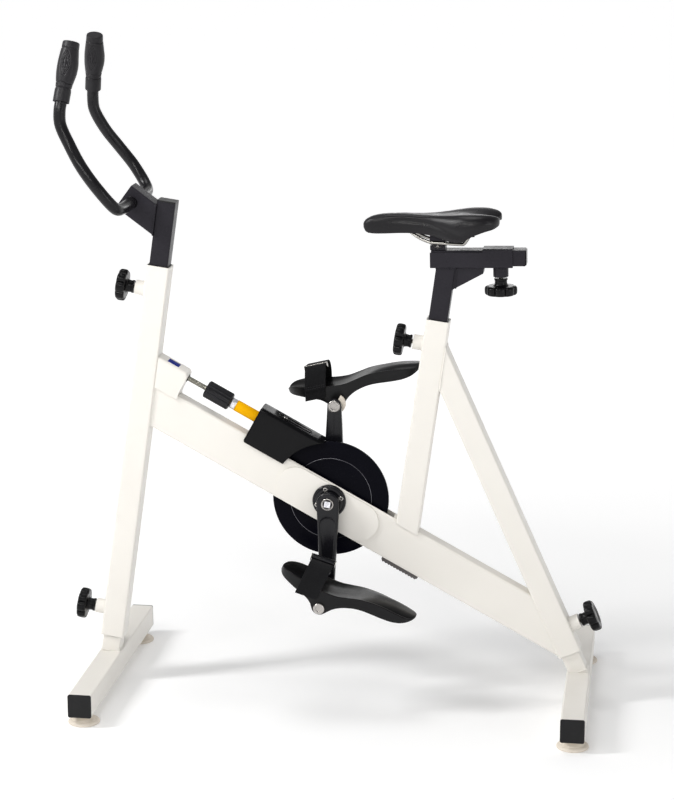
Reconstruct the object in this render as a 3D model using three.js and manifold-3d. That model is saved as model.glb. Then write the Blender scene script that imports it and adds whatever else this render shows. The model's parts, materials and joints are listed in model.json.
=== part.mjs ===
import * as THREE from 'three';
import { mergeVertices } from 'three/addons/utils/BufferGeometryUtils.js';
import Module from 'manifold-3d';

const wasm = await Module();
wasm.setup();

// An aqua bike in millimetres: X runs to the rear, Y to the rider's right, Z up from the floor.
// Square tubes telescope in square tubes, and each is held by a lobed clamp knob.

// Fits
const degree = Math.PI / 180;
const gap = 0.3;
const overrun = 30;
const boreGap = 0.5;

// White frame tubes
const tubeSize = 50;
const tubeWall = 2.5;
const tubeCorner = 4;
const baseSpan = 1024;
const columnLean = 8.1 * degree;
const columnBottom = 36;
const columnTop = 868;
const strutLean = 24.4 * degree;
const strutBottom = 45;
const seatLean = 7.7 * degree;
const seatFromAxle = 188;
const seatTubeTop = 498.5;
const seatSkirt = 7;

// Sloping beam with the slot that the brake disc runs in
const beamSlope = 28.45 * degree;
const beamHeight = 90;
const beamWidth = 40;
const beamWall = 3;
const beamDrop = 8.8;
const beamCorner = 5;
const slotForward = 130;
const slotRear = 137;
const slotUnder = 121;
const plateLength = 238;
const plateHeight = 84;
const plateRise = 4;

// Crank axle, its bearings and the brake disc
const axleForward = 25;
const axleHeight = 435;
const axleRadius = 10;
const bearingRadius = 36;
const bearingFlange = 7;
const bearingHubRadius = 20;
const bearingInset = 12;
const discRadius = 125;
const discThick = 10;
const discHubRadius = 32;
const discHubThick = 18;
const discGrooveRadius = 88;
const discGroove = 2;
const discChamfer = 1.5;

// Cranks
const crankLength = 190;
const crankThick = 16;
const crankBossRadius = 24;
const crankEndRadius = 17;
const crankInset = 37;
const crankOffset = 11;
const crankBevel = 2;
const crankPanelDeep = 1.5;
const crankPanelEdge = 7;
const crankBoltRadius = 13.5;
const crankBoltHigh = 4;

// Moulded pedals with their heel supports, spindles and straps
const pedalWidth = 100;
const pedalMiddle = 130;
const pedalToe = 103;
const pedalHeel = 197;
const pedalHigh = 54;
const pedalBossRadius = 16.5;
const spindleRadius = 7;
const spindleBoltRadius = 13;
const spindleBoltHigh = 4;
const leftPedalAngle = 17.7 * degree;
const rightPedalAngle = -13.5 * degree;
const strapWide = 48;
const strapThick = 3;
const strapTop = 90;
const strapBottom = 22;
const strapCorner = 34;
const strapLean = 7 * degree;
const strapBack = 7;

// Inner posts and their black bushes
const postSize = 40;
const postWall = 2.5;
const postCorner = 3;
const handlebarPostTop = 1008;
const handlebarPostIn = 300;
const seatPostIn = 250;
const footPostIn = 250;
const bushDepth = 40;
const bushLip = 2.5;
const plugLip = 3;
const plugDepth = 14;

// Clamp bosses and lobed knobs
const knobFromEnd = 56;
const bossRadius = 16;
const bossLength = 21;
const studRadius = 5;
const padRadius = 4.5;
const padThick = 2;
const knobGap = 3;
const knobNeckRadius = 14.5;
const knobNeckLength = 16;
const knobRadius = 34;
const knobThick = 20;
const knobBevel = 4;
const knobLobeDeep = 4.5;
const knobLobes = 8;

// Feet
const footLength = 600;
const footLift = 23;
const discInset = 35;
const footDiscRadius = 33.5;
const footNeckRadius = 13;

// Handlebar
const barRadius = 12.5;
const barForward = 72.7;
const barBelowTop = 14.3;
const barReach = 118;
const barHalf = 174;
const barRise = 339;
const bracketHigh = 58;
const bracketWide = 50;
const bracketWall = 3;
const bracketSlope = 28.3 * degree;
const bracketFront = 21;
const gripLength = 124;
const gripRadius = 18;
const gripBulge = 21;
const gripEnd = 5;

// Seat slide
const slideRise = 1.4 * degree;
const channelWidth = 50;
const channelHeight = 40;
const channelWall = 3;
const channelFront = 32;
const channelRear = 139;
const channelLow = 33;
const collarLength = 62;
const slideTubeFront = 30;
const slideTubeRear = 165;
const slideKnobAt = 113;
const seatPostShown = 113;
const gussetDown = 45;
const gussetBack = 60;
const gussetWidth = 34;

// Saddle
const saddlePivotBack = -16;
const saddlePivotHigh = 53;
const saddleNose = 157;
const saddleTail = 129;
const saddleHalf = 74;
const saddleHigh = 64;
const railRadius = 3.5;
const railHalf = 22;
const clampRadius = 13;
const clampLength = 32;
const clampWidth = 42;
const clampTop = 14;
const cradleShare = 0.5;
const shellThick = 3;
const socketHalf = 9;

// Tension control above the beam
const rodHigh = 76.2;
const rodRadius = 5;
const housingLength = 69;
const housingTop = 97;
const housingSkirt = 8;
const housingWidth = 50;
const housingWall = 3;
const housingCorner = 9;
const rodIn = 30;
const rodFreeShare = 0.472;
const rodInSleeveShare = 0.49;
const turnKnobLength = 61;
const turnKnobRadius = 20;
const turnKnobRibs = 24;
const turnKnobRibDeep = 1;
const collarThick = 12;
const collarRadius = 12;
const sleeveRadius = 12.5;
const sleeveWall = 3;
const sleeveIn = 30;
const coverTop = 106;
const coverHalf = 29;
const coverReach = 90;
const coverWall = 3;
const coverSkirt = 15;
const coverArcGap = 8;
const coverBevel = 3;
const brakePadLength = 26;
const brakePadHalf = 11;
const brakePadWide = 16;
const brakePadGap = 1.2;

// Ribbed rest under the beam
const restStart = 158;
const restLength = 88;
const restThick = 10;
const restWide = 26;
const restRibs = 11;
const restRibDeep = 2;

// Finishes
function finish(color, roughness, metalness) {
  return new THREE.MeshStandardMaterial({ color, roughness, metalness });
}
const whitePaint = finish(0xf2efea, 0.35, 0.0);
const blackPaint = finish(0x39373d, 0.45, 0.1);
const blackPlastic = finish(0x1c1b1e, 0.55, 0.0);
const blackRubber = finish(0x19181a, 0.8, 0.0);
const blackVinyl = finish(0x232227, 0.5, 0.0);
const webbing = finish(0x161618, 0.9, 0.0);
const chrome = finish(0xd8d6d2, 0.15, 1.0);
const steel = finish(0xb9b4a8, 0.35, 1.0);
const amber = finish(0xe3a400, 0.4, 0.0);
const cream = finish(0xe8ddd3, 0.6, 0.0);
const discBlack = finish(0x0d0d16, 0.3, 0.3);

// Solids
function solidOf(geometry) {
  const bare = geometry.clone();
  bare.deleteAttribute('normal');
  bare.deleteAttribute('uv');
  const merged = mergeVertices(bare.index ? bare.toNonIndexed() : bare, gap / 100);
  const index = merged.index.array;
  const kept = [];
  for (let i = 0; i < index.length; i += 3) {
    const [a, b, c] = [index[i], index[i + 1], index[i + 2]];
    if (a !== b && b !== c && c !== a) kept.push(a, b, c);
  }
  const vertProperties = new Float32Array(merged.attributes.position.array);
  return new wasm.Manifold(new wasm.Mesh({ numProp: 3, vertProperties, triVerts: new Uint32Array(kept) }));
}

function geometryOf(solid) {
  const mesh = solid.getMesh();
  const geometry = new THREE.BufferGeometry();
  geometry.setAttribute('position', new THREE.BufferAttribute(mesh.vertProperties, 3));
  geometry.setIndex(new THREE.BufferAttribute(mesh.triVerts, 1));
  geometry.computeVertexNormals();
  return geometry;
}

// Turns a closed surface so that its faces point out.
function facingOut(geometry) {
  const flat = geometry.index ? geometry.toNonIndexed() : geometry;
  const p = flat.attributes.position;
  const [a, b, c] = [new THREE.Vector3(), new THREE.Vector3(), new THREE.Vector3()];
  let volume = 0;
  for (let i = 0; i < p.count; i += 3) {
    a.fromBufferAttribute(p, i);
    b.fromBufferAttribute(p, i + 1);
    c.fromBufferAttribute(p, i + 2);
    volume += a.dot(b.cross(c));
  }
  if (volume > 0) return flat;
  for (let i = 0; i < p.count; i += 3) {
    b.fromBufferAttribute(p, i + 1);
    c.fromBufferAttribute(p, i + 2);
    p.setXYZ(i + 1, c.x, c.y, c.z);
    p.setXYZ(i + 2, b.x, b.y, b.z);
  }
  flat.computeVertexNormals();
  return flat;
}

function roundedRect(width, height, radius) {
  const [x, y] = [width / 2 - radius, height / 2 - radius];
  const shape = new THREE.Shape();
  shape.absarc(x, y, radius, 0, 0.5 * Math.PI);
  shape.absarc(-x, y, radius, 0.5 * Math.PI, Math.PI);
  shape.absarc(-x, -y, radius, Math.PI, 1.5 * Math.PI);
  shape.absarc(x, -y, radius, 1.5 * Math.PI, 2 * Math.PI);
  return shape;
}

function extruded(shape, depth, curveSegments = 2) {
  return new THREE.ExtrudeGeometry(shape, { depth, bevelEnabled: false, curveSegments });
}

// A tube of rectangular section that runs up Z from one height to another.
function boxTube(width, depth, wall, corner, from, to) {
  const shape = roundedRect(width, depth, corner);
  shape.holes.push(roundedRect(width - 2 * wall, depth - 2 * wall, corner / 2));
  return extruded(shape, to - from).translate(0, 0, from);
}

function block(x0, x1, y0, y1, z0, z1) {
  const box = new THREE.BoxGeometry(x1 - x0, y1 - y0, z1 - z0);
  return box.translate((x0 + x1) / 2, (y0 + y1) / 2, (z0 + z1) / 2);
}

// A side view drawn in X and Z, as thick as its width across Y.
function slab(shape, width, curveSegments = 6) {
  return extruded(shape, width, curveSegments).rotateX(Math.PI / 2).translate(0, width / 2, 0);
}

function outline(points) {
  return new THREE.Shape(points.map(([x, y]) => new THREE.Vector2(x, y)));
}

// A profile of radius and height turned about Y.
function turned(profile, sides = 32) {
  return facingOut(new THREE.LatheGeometry(profile.map(([r, y]) => new THREE.Vector2(r, y)), sides));
}

function ring(inner, outer, from, to, sides = 32) {
  return turned([[inner, from], [outer, from], [outer, to], [inner, to], [inner, from]], sides);
}

function rod(radius, from, to, sides = 24) {
  return new THREE.CylinderGeometry(radius, radius, to - from, sides).translate(0, (from + to) / 2, 0);
}

const alongX = (geometry) => geometry.rotateZ(-Math.PI / 2);
const alongZ = (geometry) => geometry.rotateX(Math.PI / 2);

// A closed skin over rings of points, with a fan over each end.
function loft(rings) {
  const count = rings[0].length;
  const points = rings.flat();
  const faces = [];
  for (let r = 0; r + 1 < rings.length; r += 1) {
    for (let i = 0; i < count; i += 1) {
      const [a, b] = [r * count + i, r * count + ((i + 1) % count)];
      faces.push(a, b, b + count, a, b + count, a + count);
    }
  }
  for (const [first, turn] of [[0, 1], [(rings.length - 1) * count, 0]]) {
    const middle = points.length;
    const centre = new THREE.Vector3();
    for (let i = 0; i < count; i += 1) centre.addScaledVector(points[first + i], 1 / count);
    points.push(centre);
    for (let i = 0; i < count; i += 1) {
      const [a, b] = [first + i, first + ((i + 1) % count)];
      faces.push(middle, turn ? b : a, turn ? a : b);
    }
  }
  const geometry = new THREE.BufferGeometry().setFromPoints(points);
  geometry.setIndex(faces);
  return facingOut(geometry);
}

function tubeAlong(curve, radius, steps, sides = 12) {
  const section = new THREE.Shape().absarc(0, 0, radius, 0, 2 * Math.PI);
  return new THREE.ExtrudeGeometry(new THREE.Shape(section.getPoints(sides / 2)), {
    steps, extrudePath: curve, bevelEnabled: false, curveSegments: sides,
  });
}

// Frames: groups that lie in the tubes' own directions
const slidePostHeight = seatTubeTop + seatPostShown;
const bike = new THREE.Group();
const axlePlace = new THREE.Vector3(-axleForward, 0, axleHeight);
const footTop = footLift + tubeSize;

function frameIn(parent, x, z, turn) {
  const frame = new THREE.Group();
  frame.position.set(x, 0, z);
  frame.rotation.y = turn;
  parent.add(frame);
  bike.updateMatrixWorld(true);
  return frame;
}

const columnFrame = frameIn(bike, -baseSpan / 2, footTop, columnLean);
const strutFrame = frameIn(bike, baseSpan / 2, footTop, -strutLean);
const beamFrame = frameIn(bike, axlePlace.x, axlePlace.z, beamSlope);
const seatFrame = frameIn(beamFrame, seatFromAxle, -beamDrop, seatLean - beamSlope);
const slideFrame = frameIn(seatFrame, 0, slidePostHeight, -slideRise - seatLean);
const saddleFrame = frameIn(slideFrame, saddlePivotBack, saddlePivotHigh, slideRise);
const bracketFrame = frameIn(columnFrame, -barForward, handlebarPostTop - barBelowTop, bracketSlope);
const barFrame = frameIn(bracketFrame, 0, 0, -bracketSlope - columnLean);

// A tool made in one frame, as seen from another.
function carried(geometry, from, to) {
  const matrix = to.matrixWorld.clone().invert().multiply(from.matrixWorld);
  return solidOf(geometry.clone().applyMatrix4(matrix));
}

const farAway = 2 * baseSpan;

// The half of space in front of or behind a face of an upright tube, in that tube's frame.
function beyond(face, side) {
  const [x0, x1] = side > 0 ? [face, face + farAway] : [face - farAway, face];
  return block(x0, x1, -farAway, farAway, -farAway, farAway);
}

function add(parent, name, geometry, material) {
  const mesh = new THREE.Mesh(geometry, material);
  mesh.name = name;
  parent.add(mesh);
  return mesh;
}

// Clamps: each frame's X axis points out of the tube's face along the knob's stud.
const columnUpper = frameIn(columnFrame, -tubeSize / 2, columnTop - knobFromEnd, Math.PI);
const columnLower = frameIn(columnFrame, -tubeSize / 2, columnBottom + knobFromEnd, Math.PI);
const seatClamp = frameIn(seatFrame, -tubeSize / 2, seatTubeTop - knobFromEnd, Math.PI);
const strutClamp = frameIn(strutFrame, tubeSize / 2, strutBottom + knobFromEnd, 0);
const slideClamp = frameIn(slideFrame, slideKnobAt, 0, Math.PI / 2);

// A welded boss with its bore, which goes on through the wall behind it.
function withBoss(body, home, clamp, wall) {
  const boss = carried(alongX(rod(bossRadius, -wall / 2, bossLength)), clamp, home);
  const bore = carried(alongX(rod(studRadius + boreGap, -wall - gap, bossLength + overrun)), clamp, home);
  return body.add(boss).subtract(bore);
}

function whiteTube(home, from, to) {
  return solidOf(boxTube(tubeSize, tubeSize, tubeWall, tubeCorner, from, to));
}

// Front column
let column = whiteTube(columnFrame, columnBottom, columnTop);
column = withBoss(column, columnFrame, columnUpper, tubeWall);
column = withBoss(column, columnFrame, columnLower, tubeWall);
add(columnFrame, 'front_column', geometryOf(column), whitePaint);

// Sloping beam: a box tube cut to the column and the strut, slotted for the disc
const beamTop = beamHeight / 2 - beamDrop;
const beamUnder = -beamHeight / 2 - beamDrop;
const beamReach = baseSpan;
const beamTube = boxTube(beamHeight, beamWidth, beamWall, beamCorner, -beamReach, beamReach);
let beam = solidOf(beamTube.rotateY(Math.PI / 2).translate(0, 0, -beamDrop));
beam = beam.subtract(carried(beyond(tubeSize / 2 + gap, -1), columnFrame, beamFrame));
beam = beam.subtract(carried(beyond(-tubeSize / 2 - gap, 1), strutFrame, beamFrame));
const plateShape = roundedRect(plateLength, plateHeight, plateHeight / 2 - gap);
for (const side of [-1, 1]) {
  const plate = slab(plateShape, plateRise + beamWall / 2, 10);
  const middle = beamWidth / 2 + (plateRise - beamWall / 2) / 2;
  beam = beam.add(solidOf(plate.translate(0, side * middle, -beamDrop)));
}
const slotHalf = beamWidth / 2 - beamWall;
beam = beam.subtract(solidOf(block(-slotForward, slotRear, -slotHalf, slotHalf, 0, beamTop + overrun)));
beam = beam.subtract(solidOf(block(-slotUnder, slotUnder, -slotHalf, slotHalf, beamUnder - overrun, 0)));
beam = beam.subtract(solidOf(rod(bearingHubRadius + gap, -overrun, overrun, 40)));
add(beamFrame, 'main_beam', geometryOf(beam), whitePaint);

// Seat tube, which straddles the beam's top
const seatReach = beamHeight * 2;
let seatTube = whiteTube(seatFrame, -seatReach, seatTubeTop);
const skirtPlane = block(-farAway, farAway, -farAway, farAway, -farAway, beamTop - seatSkirt);
seatTube = seatTube.subtract(carried(skirtPlane, beamFrame, seatFrame));
const beamSide = beamWidth / 2 + gap;
const beamRoom = block(-farAway, farAway, -beamSide, beamSide, -farAway, beamTop + gap);
seatTube = seatTube.subtract(carried(beamRoom, beamFrame, seatFrame));
seatTube = withBoss(seatTube, seatFrame, seatClamp, tubeWall);
add(seatFrame, 'seat_tube', geometryOf(seatTube), whitePaint);

// Rear strut, mitred to the seat tube
let strut = whiteTube(strutFrame, strutBottom, baseSpan);
strut = strut.subtract(carried(beyond(tubeSize / 2 + gap, -1), seatFrame, strutFrame));
strut = withBoss(strut, strutFrame, strutClamp, tubeWall);
add(strutFrame, 'rear_strut', geometryOf(strut), whitePaint);

const domeShares = [[1, 0.14], [0.72, 0.38], [0.28, 0.62], [0, 0.82], [0, 1]];

// Telescoping feet: a cross tube with its post, end caps and domed floor discs
function foot(home, name, lean, x) {
  const flat = frameIn(bike, x, footLift + tubeSize / 2, 0);
  const post = boxTube(postSize, postSize, postWall, postCorner, -tubeSize, footPostIn);
  const below = block(-farAway, farAway, -farAway, farAway, -farAway, tubeSize / 2 - tubeWall / 2);
  const standing = solidOf(post).subtract(carried(below, flat, home));
  const cross = boxTube(tubeSize, tubeSize, tubeWall, tubeCorner, -footLength / 2, footLength / 2);
  const body = standing.add(carried(cross.rotateX(Math.PI / 2), flat, home));
  add(home, name + '_foot', geometryOf(body), whitePaint);
  const inside = tubeSize - 2 * tubeWall - 2 * gap;
  for (const [side, word] of [[-1, 'left'], [1, 'right']]) {
    const lip = solidOf(extruded(roundedRect(tubeSize, tubeSize, tubeCorner), plugLip));
    const plugShape = roundedRect(inside, inside, tubeCorner / 2);
    const plug = solidOf(extruded(plugShape, plugDepth + gap).translate(0, 0, -plugDepth));
    const cap = geometryOf(lip.add(plug)).rotateX(-Math.PI / 2);
    const capMesh = add(flat, `${name}_${word}_cap`, cap.translate(0, footLength / 2 + gap, 0), blackPlastic);
    capMesh.rotation.z = side > 0 ? 0 : Math.PI;
    const under = footLift - gap;
    const dome = [[0, 0], [footDiscRadius, 0], [footDiscRadius, under * domeShares[0][1]]];
    for (const [r, z] of domeShares.slice(1)) {
      dome.push([footNeckRadius + (footDiscRadius - footNeckRadius) * r, under * z]);
    }
    dome.push([0, under]);
    const disc = add(flat, `${name}_${word}_floor_disc`, alongZ(turned(dome, 28)), cream);
    disc.position.set(0, side * (footLength / 2 - discInset), -footLift - tubeSize / 2);
  }
}
foot(columnFrame, 'front', columnLean, -baseSpan / 2);
foot(strutFrame, 'rear', -strutLean, baseSpan / 2);

// Bushes at the tops of the column and the seat tube
function bush(home, name, top) {
  const inner = postSize + 2 * gap;
  const lip = roundedRect(tubeSize, tubeSize, tubeCorner);
  lip.holes.push(roundedRect(inner, inner, postCorner));
  const sleeveOut = tubeSize - 2 * tubeWall - 2 * gap;
  const sleeve = roundedRect(sleeveOut, sleeveOut, tubeCorner / 2);
  sleeve.holes.push(roundedRect(inner, inner, postCorner));
  const lipSolid = solidOf(extruded(lip, bushLip).translate(0, 0, top + gap));
  const sleeveSolid = solidOf(extruded(sleeve, bushDepth + 2 * gap).translate(0, 0, top - bushDepth));
  add(home, name, geometryOf(lipSolid.add(sleeveSolid)), blackPlastic);
}
bush(columnFrame, 'column_bush', columnTop);
bush(seatFrame, 'seat_tube_bush', seatTubeTop);

// Handlebar post, its top cap and the slanting bracket
const handlebarPostLow = columnTop - handlebarPostIn;
const handlebarPostEnd = handlebarPostTop - plugLip;
const handlebarPost = boxTube(postSize, postSize, postWall, postCorner, handlebarPostLow, handlebarPostEnd);
add(columnFrame, 'handlebar_post', facingOut(handlebarPost), blackPaint);
const capInside = postSize - 2 * postWall - 2 * gap;
const capLip = solidOf(extruded(roundedRect(postSize, postSize, postCorner), plugLip - gap));
const capShape = roundedRect(capInside, capInside, postCorner / 2);
const capPlug = solidOf(extruded(capShape, plugDepth + gap).translate(0, 0, -plugDepth));
const postCap = add(columnFrame, 'handlebar_post_cap', geometryOf(capLip.add(capPlug)), blackPlastic);
postCap.position.z = handlebarPostEnd + gap;

const bracketTube = boxTube(bracketHigh, bracketWide, bracketWall, tubeCorner, -bracketFront, baseSpan);
let bracket = solidOf(bracketTube.rotateY(Math.PI / 2));
bracket = bracket.subtract(carried(beyond(-postSize / 2 - gap, 1), columnFrame, bracketFrame));
bracket = bracket.subtract(solidOf(rod(barRadius + boreGap, -bracketWide, bracketWide)));
add(bracketFrame, 'handlebar_bracket', geometryOf(bracket), blackPaint);

// One bent bar: its right half in shares of its reach, half width and rise, from the middle out
const barShares = [
  [0, 0.3, 0], [0, 0.62, 0], [-0.04, 0.87, 0.02], [-0.31, 1, 0.15], [-0.58, 0.975, 0.274],
  [-0.81, 0.88, 0.395], [-0.985, 0.835, 0.52], [-1, 0.815, 0.6],
];
const gripLowShares = [-0.975, 0.775, 0.67];
const gripTopShares = [-0.85, 0.575, 1];
const barPoint = ([x, y, z], side) => new THREE.Vector3(barReach * x, side * barHalf * y, barRise * z);
const rightPath = [...barShares, gripLowShares];
const barTop = (side) => barPoint(gripTopShares, side);
const barLow = (side) => barPoint(gripLowShares, side);
const gripWay = (side) => barTop(side).sub(barLow(side)).normalize();
const barEnd = (side) => barTop(side).addScaledVector(gripWay(side), -gripEnd - gap);
const barHalfPath = (side) => [...rightPath.map((p) => barPoint(p, side)), barEnd(side)];
const barPoints = [...barHalfPath(-1).reverse(), new THREE.Vector3(), ...barHalfPath(1)];
const barCurve = new THREE.CatmullRomCurve3(barPoints, false, 'centripetal');
add(barFrame, 'handlebar', tubeAlong(barCurve, barRadius, 60, 10), blackPaint);

// Grips with a full palm, a waist and a rounded end
const gripShares = [
  [0.95, 0], [1, 0.02], [0.98, 0.1], [0.98, 0.2], [1, 0.35],
  [0.94, 0.72], [0.93, 0.86], [1, 0.95], [0.8, 0.99],
];
function grip(side, name) {
  const bore = barRadius + boreGap;
  const inEnd = gripLength - gripEnd;
  const fullest = (i) => (i > 2 && i < 6 ? gripBulge : gripRadius);
  const widest = gripShares.map(([r, y], i) => [fullest(i) * r, gripLength * y]);
  const profile = [[bore, 0], ...widest, [0, gripLength], [0, inEnd], [bore, inEnd], [bore, 0]];
  const body = add(barFrame, name, turned(profile, 20), blackRubber);
  body.position.copy(barTop(side).addScaledVector(gripWay(side), -gripLength));
  body.quaternion.setFromUnitVectors(new THREE.Vector3(0, 1, 0), gripWay(side));
}
grip(-1, 'left_grip');
grip(1, 'right_grip');

// Seat post with the boxed gusset behind it
const seatPostLow = seatTubeTop - seatPostIn;
const seatPostEnd = slidePostHeight + overrun;
let seatPost = solidOf(boxTube(postSize, postSize, postWall, postCorner, seatPostLow, seatPostEnd));
const gusset = outline([[0, -gussetDown], [gussetBack, 0], [gussetBack, overrun], [0, overrun]]);
const postBack = postSize / 2 - postWall / 2;
seatPost = seatPost.add(solidOf(slab(gusset, gussetWidth).translate(postBack, 0, slidePostHeight)));
const aboveSlide = block(-farAway, farAway, -farAway, farAway, -gap, farAway);
seatPost = seatPost.subtract(carried(aboveSlide, slideFrame, seatFrame));
add(seatFrame, 'seat_post', geometryOf(seatPost), blackPaint);

// Slide channel: a tube with its roof cut away in front of the rear collar
const channelTube = boxTube(channelHeight, channelWidth, channelWall, tubeCorner, -channelFront, channelRear);
let channel = solidOf(channelTube.rotateY(Math.PI / 2).translate(0, 0, channelHeight / 2));
const openTop = channelRear - collarLength;
const roofEnd = channelHeight + overrun;
const roof = block(-channelFront - overrun, openTop, -channelWidth, channelWidth, channelLow, roofEnd);
channel = channel.subtract(solidOf(roof));
channel = withBoss(channel, slideFrame, slideClamp, channelWall);
add(slideFrame, 'slide_channel', geometryOf(channel), blackPaint);

const slideWide = channelWidth - 2 * channelWall - 2 * gap;
const slideHigh = channelHeight - 2 * channelWall - 2 * gap;
const slideTube = boxTube(slideHigh, slideWide, postWall, postCorner, -slideTubeFront, slideTubeRear);
slideTube.rotateY(Math.PI / 2).translate(0, 0, channelHeight / 2);
add(slideFrame, 'slide_tube', facingOut(slideTube), blackPaint);

// Saddle clamp: a cradle on the slide tube and a yoke that rocks in it and grips the rails
const slideTop = channelHeight - channelWall;
const cradleTop = saddlePivotHigh - clampRadius * cradleShare;
const cradleHalf = postSize / 2 - postWall;
const [cradleLow, cradleHigh] = [slideTop - saddlePivotHigh, cradleTop - saddlePivotHigh];
const cradleBlock = block(-clampLength / 2, clampLength / 2, -cradleHalf, cradleHalf, cradleLow, cradleHigh);
const cradleBody = solidOf(cradleBlock).subtract(solidOf(rod(clampRadius + gap, -postSize, postSize, 32)));
const cradle = add(slideFrame, 'saddle_clamp_cradle', geometryOf(cradleBody), blackPaint);
cradle.position.set(saddlePivotBack, 0, saddlePivotHigh);

// Chrome rails: one wire from the tail, under the clamp, round the nose and back
const railShares = [
  [0.545, 1.2, 0.37], [0.5, 1.1, 0.2], [0.42, 1.02, -0.02], [0.36, 1, -0.03], [0.02, 1, 0],
  [-0.14, 1, 0.03], [-0.32, 0.8, 0.17], [-0.46, 0.6, 0.34], [-0.56, 0.4, 0.45], [-0.6, 0, 0.49],
];
const railPoint = ([x, y, z], side) => new THREE.Vector3(saddleTail * x, side * railHalf * y, saddleHigh * z);
const farRail = railShares.slice(0, -1).map((p) => railPoint(p, 1)).reverse();
const railPoints = [...railShares.map((p) => railPoint(p, -1)), ...farRail];
const railCurve = new THREE.CatmullRomCurve3(railPoints, false, 'centripetal');
const railGeometry = tubeAlong(railCurve, railRadius, 56, 8);
add(saddleFrame, 'saddle_rails', railGeometry, chrome);

const [yokeLong, yokeWide] = [clampLength / 2, clampWidth / 2];
const yokeBlock = solidOf(block(-yokeLong, yokeLong, -yokeWide, yokeWide, -railRadius, clampTop));
const yokeRound = solidOf(rod(clampRadius, -cradleHalf, cradleHalf, 32));
const railRoom = solidOf(tubeAlong(railCurve, railRadius + boreGap, 56, 8));
add(saddleFrame, 'saddle_clamp_yoke', geometryOf(yokeBlock.add(yokeRound).subtract(railRoom)), blackPaint);

// Saddle: stations from nose to tail as shares of length, half width, crown, wing, hem and underside
const saddleShares = [
  [0, 0.1, 0.62, 0.6, 0.42, 0.52], [0.03, 0.19, 0.78, 0.74, 0.27, 0.58],
  [0.08, 0.25, 0.86, 0.83, 0.24, 0.6], [0.16, 0.28, 0.89, 0.87, 0.26, 0.62],
  [0.28, 0.3, 0.89, 0.88, 0.29, 0.63], [0.4, 0.36, 0.88, 0.88, 0.3, 0.62],
  [0.5, 0.48, 0.885, 0.89, 0.26, 0.6], [0.58, 0.64, 0.9, 0.92, 0.2, 0.57],
  [0.66, 0.82, 0.92, 0.96, 0.11, 0.53], [0.73, 0.94, 0.94, 1, 0.12, 0.5],
  [0.81, 1, 0.95, 1.02, 0.33, 0.5], [0.89, 0.95, 0.93, 1.02, 0.47, 0.56],
  [0.955, 0.82, 0.87, 0.98, 0.55, 0.63], [1, 0.6, 0.78, 0.9, 0.64, 0.68],
];
const sectionShares = [
  [0, 0, 1], [0.3, 0.12, 0.88], [0.58, 0.75, 0.25], [0.8, 0.93, 0], [0.95, 0.72, 0], [1, 0.42, 0],
  [0.97, 0.1, 0], [0.9, 0, 0],
];
const saddleLength = saddleNose + saddleTail;
function saddleRing([along, half, crown, wing, hem, under]) {
  const x = saddleLength * along - saddleNose;
  const right = sectionShares.map(([y, towardWing, towardCrown]) => {
    const above = crown * towardCrown + wing * (1 - towardCrown);
    const beside = hem + (wing - hem) * towardWing;
    return [saddleHalf * half * y, saddleHigh * (towardCrown > 0 ? above : beside)];
  });
  right.push([saddleHalf * half * 0.8, saddleHigh * (hem + under) / 2]);
  right.push([saddleHalf * half * 0.55, saddleHigh * under]);
  const left = right.slice(1).reverse().map(([y, z]) => [-y, z]);
  return [...right, ...left].map(([y, z]) => new THREE.Vector3(x, y, z));
}
add(saddleFrame, 'saddle_cushion', loft(saddleShares.map(saddleRing)), blackVinyl);

const socketShares = [[-0.585, 0, 0.4, 0.61], [0.53, -1.15, 0.24, 0.48], [0.53, 1.15, 0.24, 0.48]];
const shellShares = saddleShares.slice(2, -2);
function shellRing([along, half, , , , under]) {
  const x = saddleLength * along - saddleNose;
  const y = saddleHalf * half * 0.5;
  const top = saddleHigh * under - gap;
  const corners = [[y, top], [-y, top], [-y, top - shellThick], [y, top - shellThick]];
  return corners.map(([a, b]) => new THREE.Vector3(x, a, b));
}
let shell = solidOf(loft(shellShares.map(shellRing)));
for (const [along, across, low, high] of socketShares) {
  const [x, y] = [saddleTail * along, railHalf * across];
  const [z0, z1] = [saddleHigh * low, saddleHigh * high];
  const socket = block(x - socketHalf, x + socketHalf, y - socketHalf, y + socketHalf, z0, z1);
  shell = shell.add(solidOf(socket).subtract(railRoom));
}
add(saddleFrame, 'saddle_shell', geometryOf(shell), blackPlastic);

// Clamp knobs: a lobed head, a neck and a stud, with a thrust pad at the stud's tip
function lobedHead() {
  const steps = knobLobes * 5;
  const points = [];
  for (let i = 0; i < steps; i += 1) {
    const turn = (2 * Math.PI * i) / steps;
    const lobe = Math.abs(Math.cos((knobLobes * turn) / 2)) ** 1.5;
    const radius = knobRadius - knobBevel - knobLobeDeep * (1 - lobe);
    points.push([radius * Math.cos(turn), radius * Math.sin(turn)]);
  }
  const head = new THREE.ExtrudeGeometry(outline(points), {
    depth: knobThick - 2 * knobBevel, bevelThickness: knobBevel, bevelSize: knobBevel, bevelSegments: 1,
  });
  return head.translate(0, 0, knobBevel).rotateY(Math.PI / 2);
}

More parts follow.
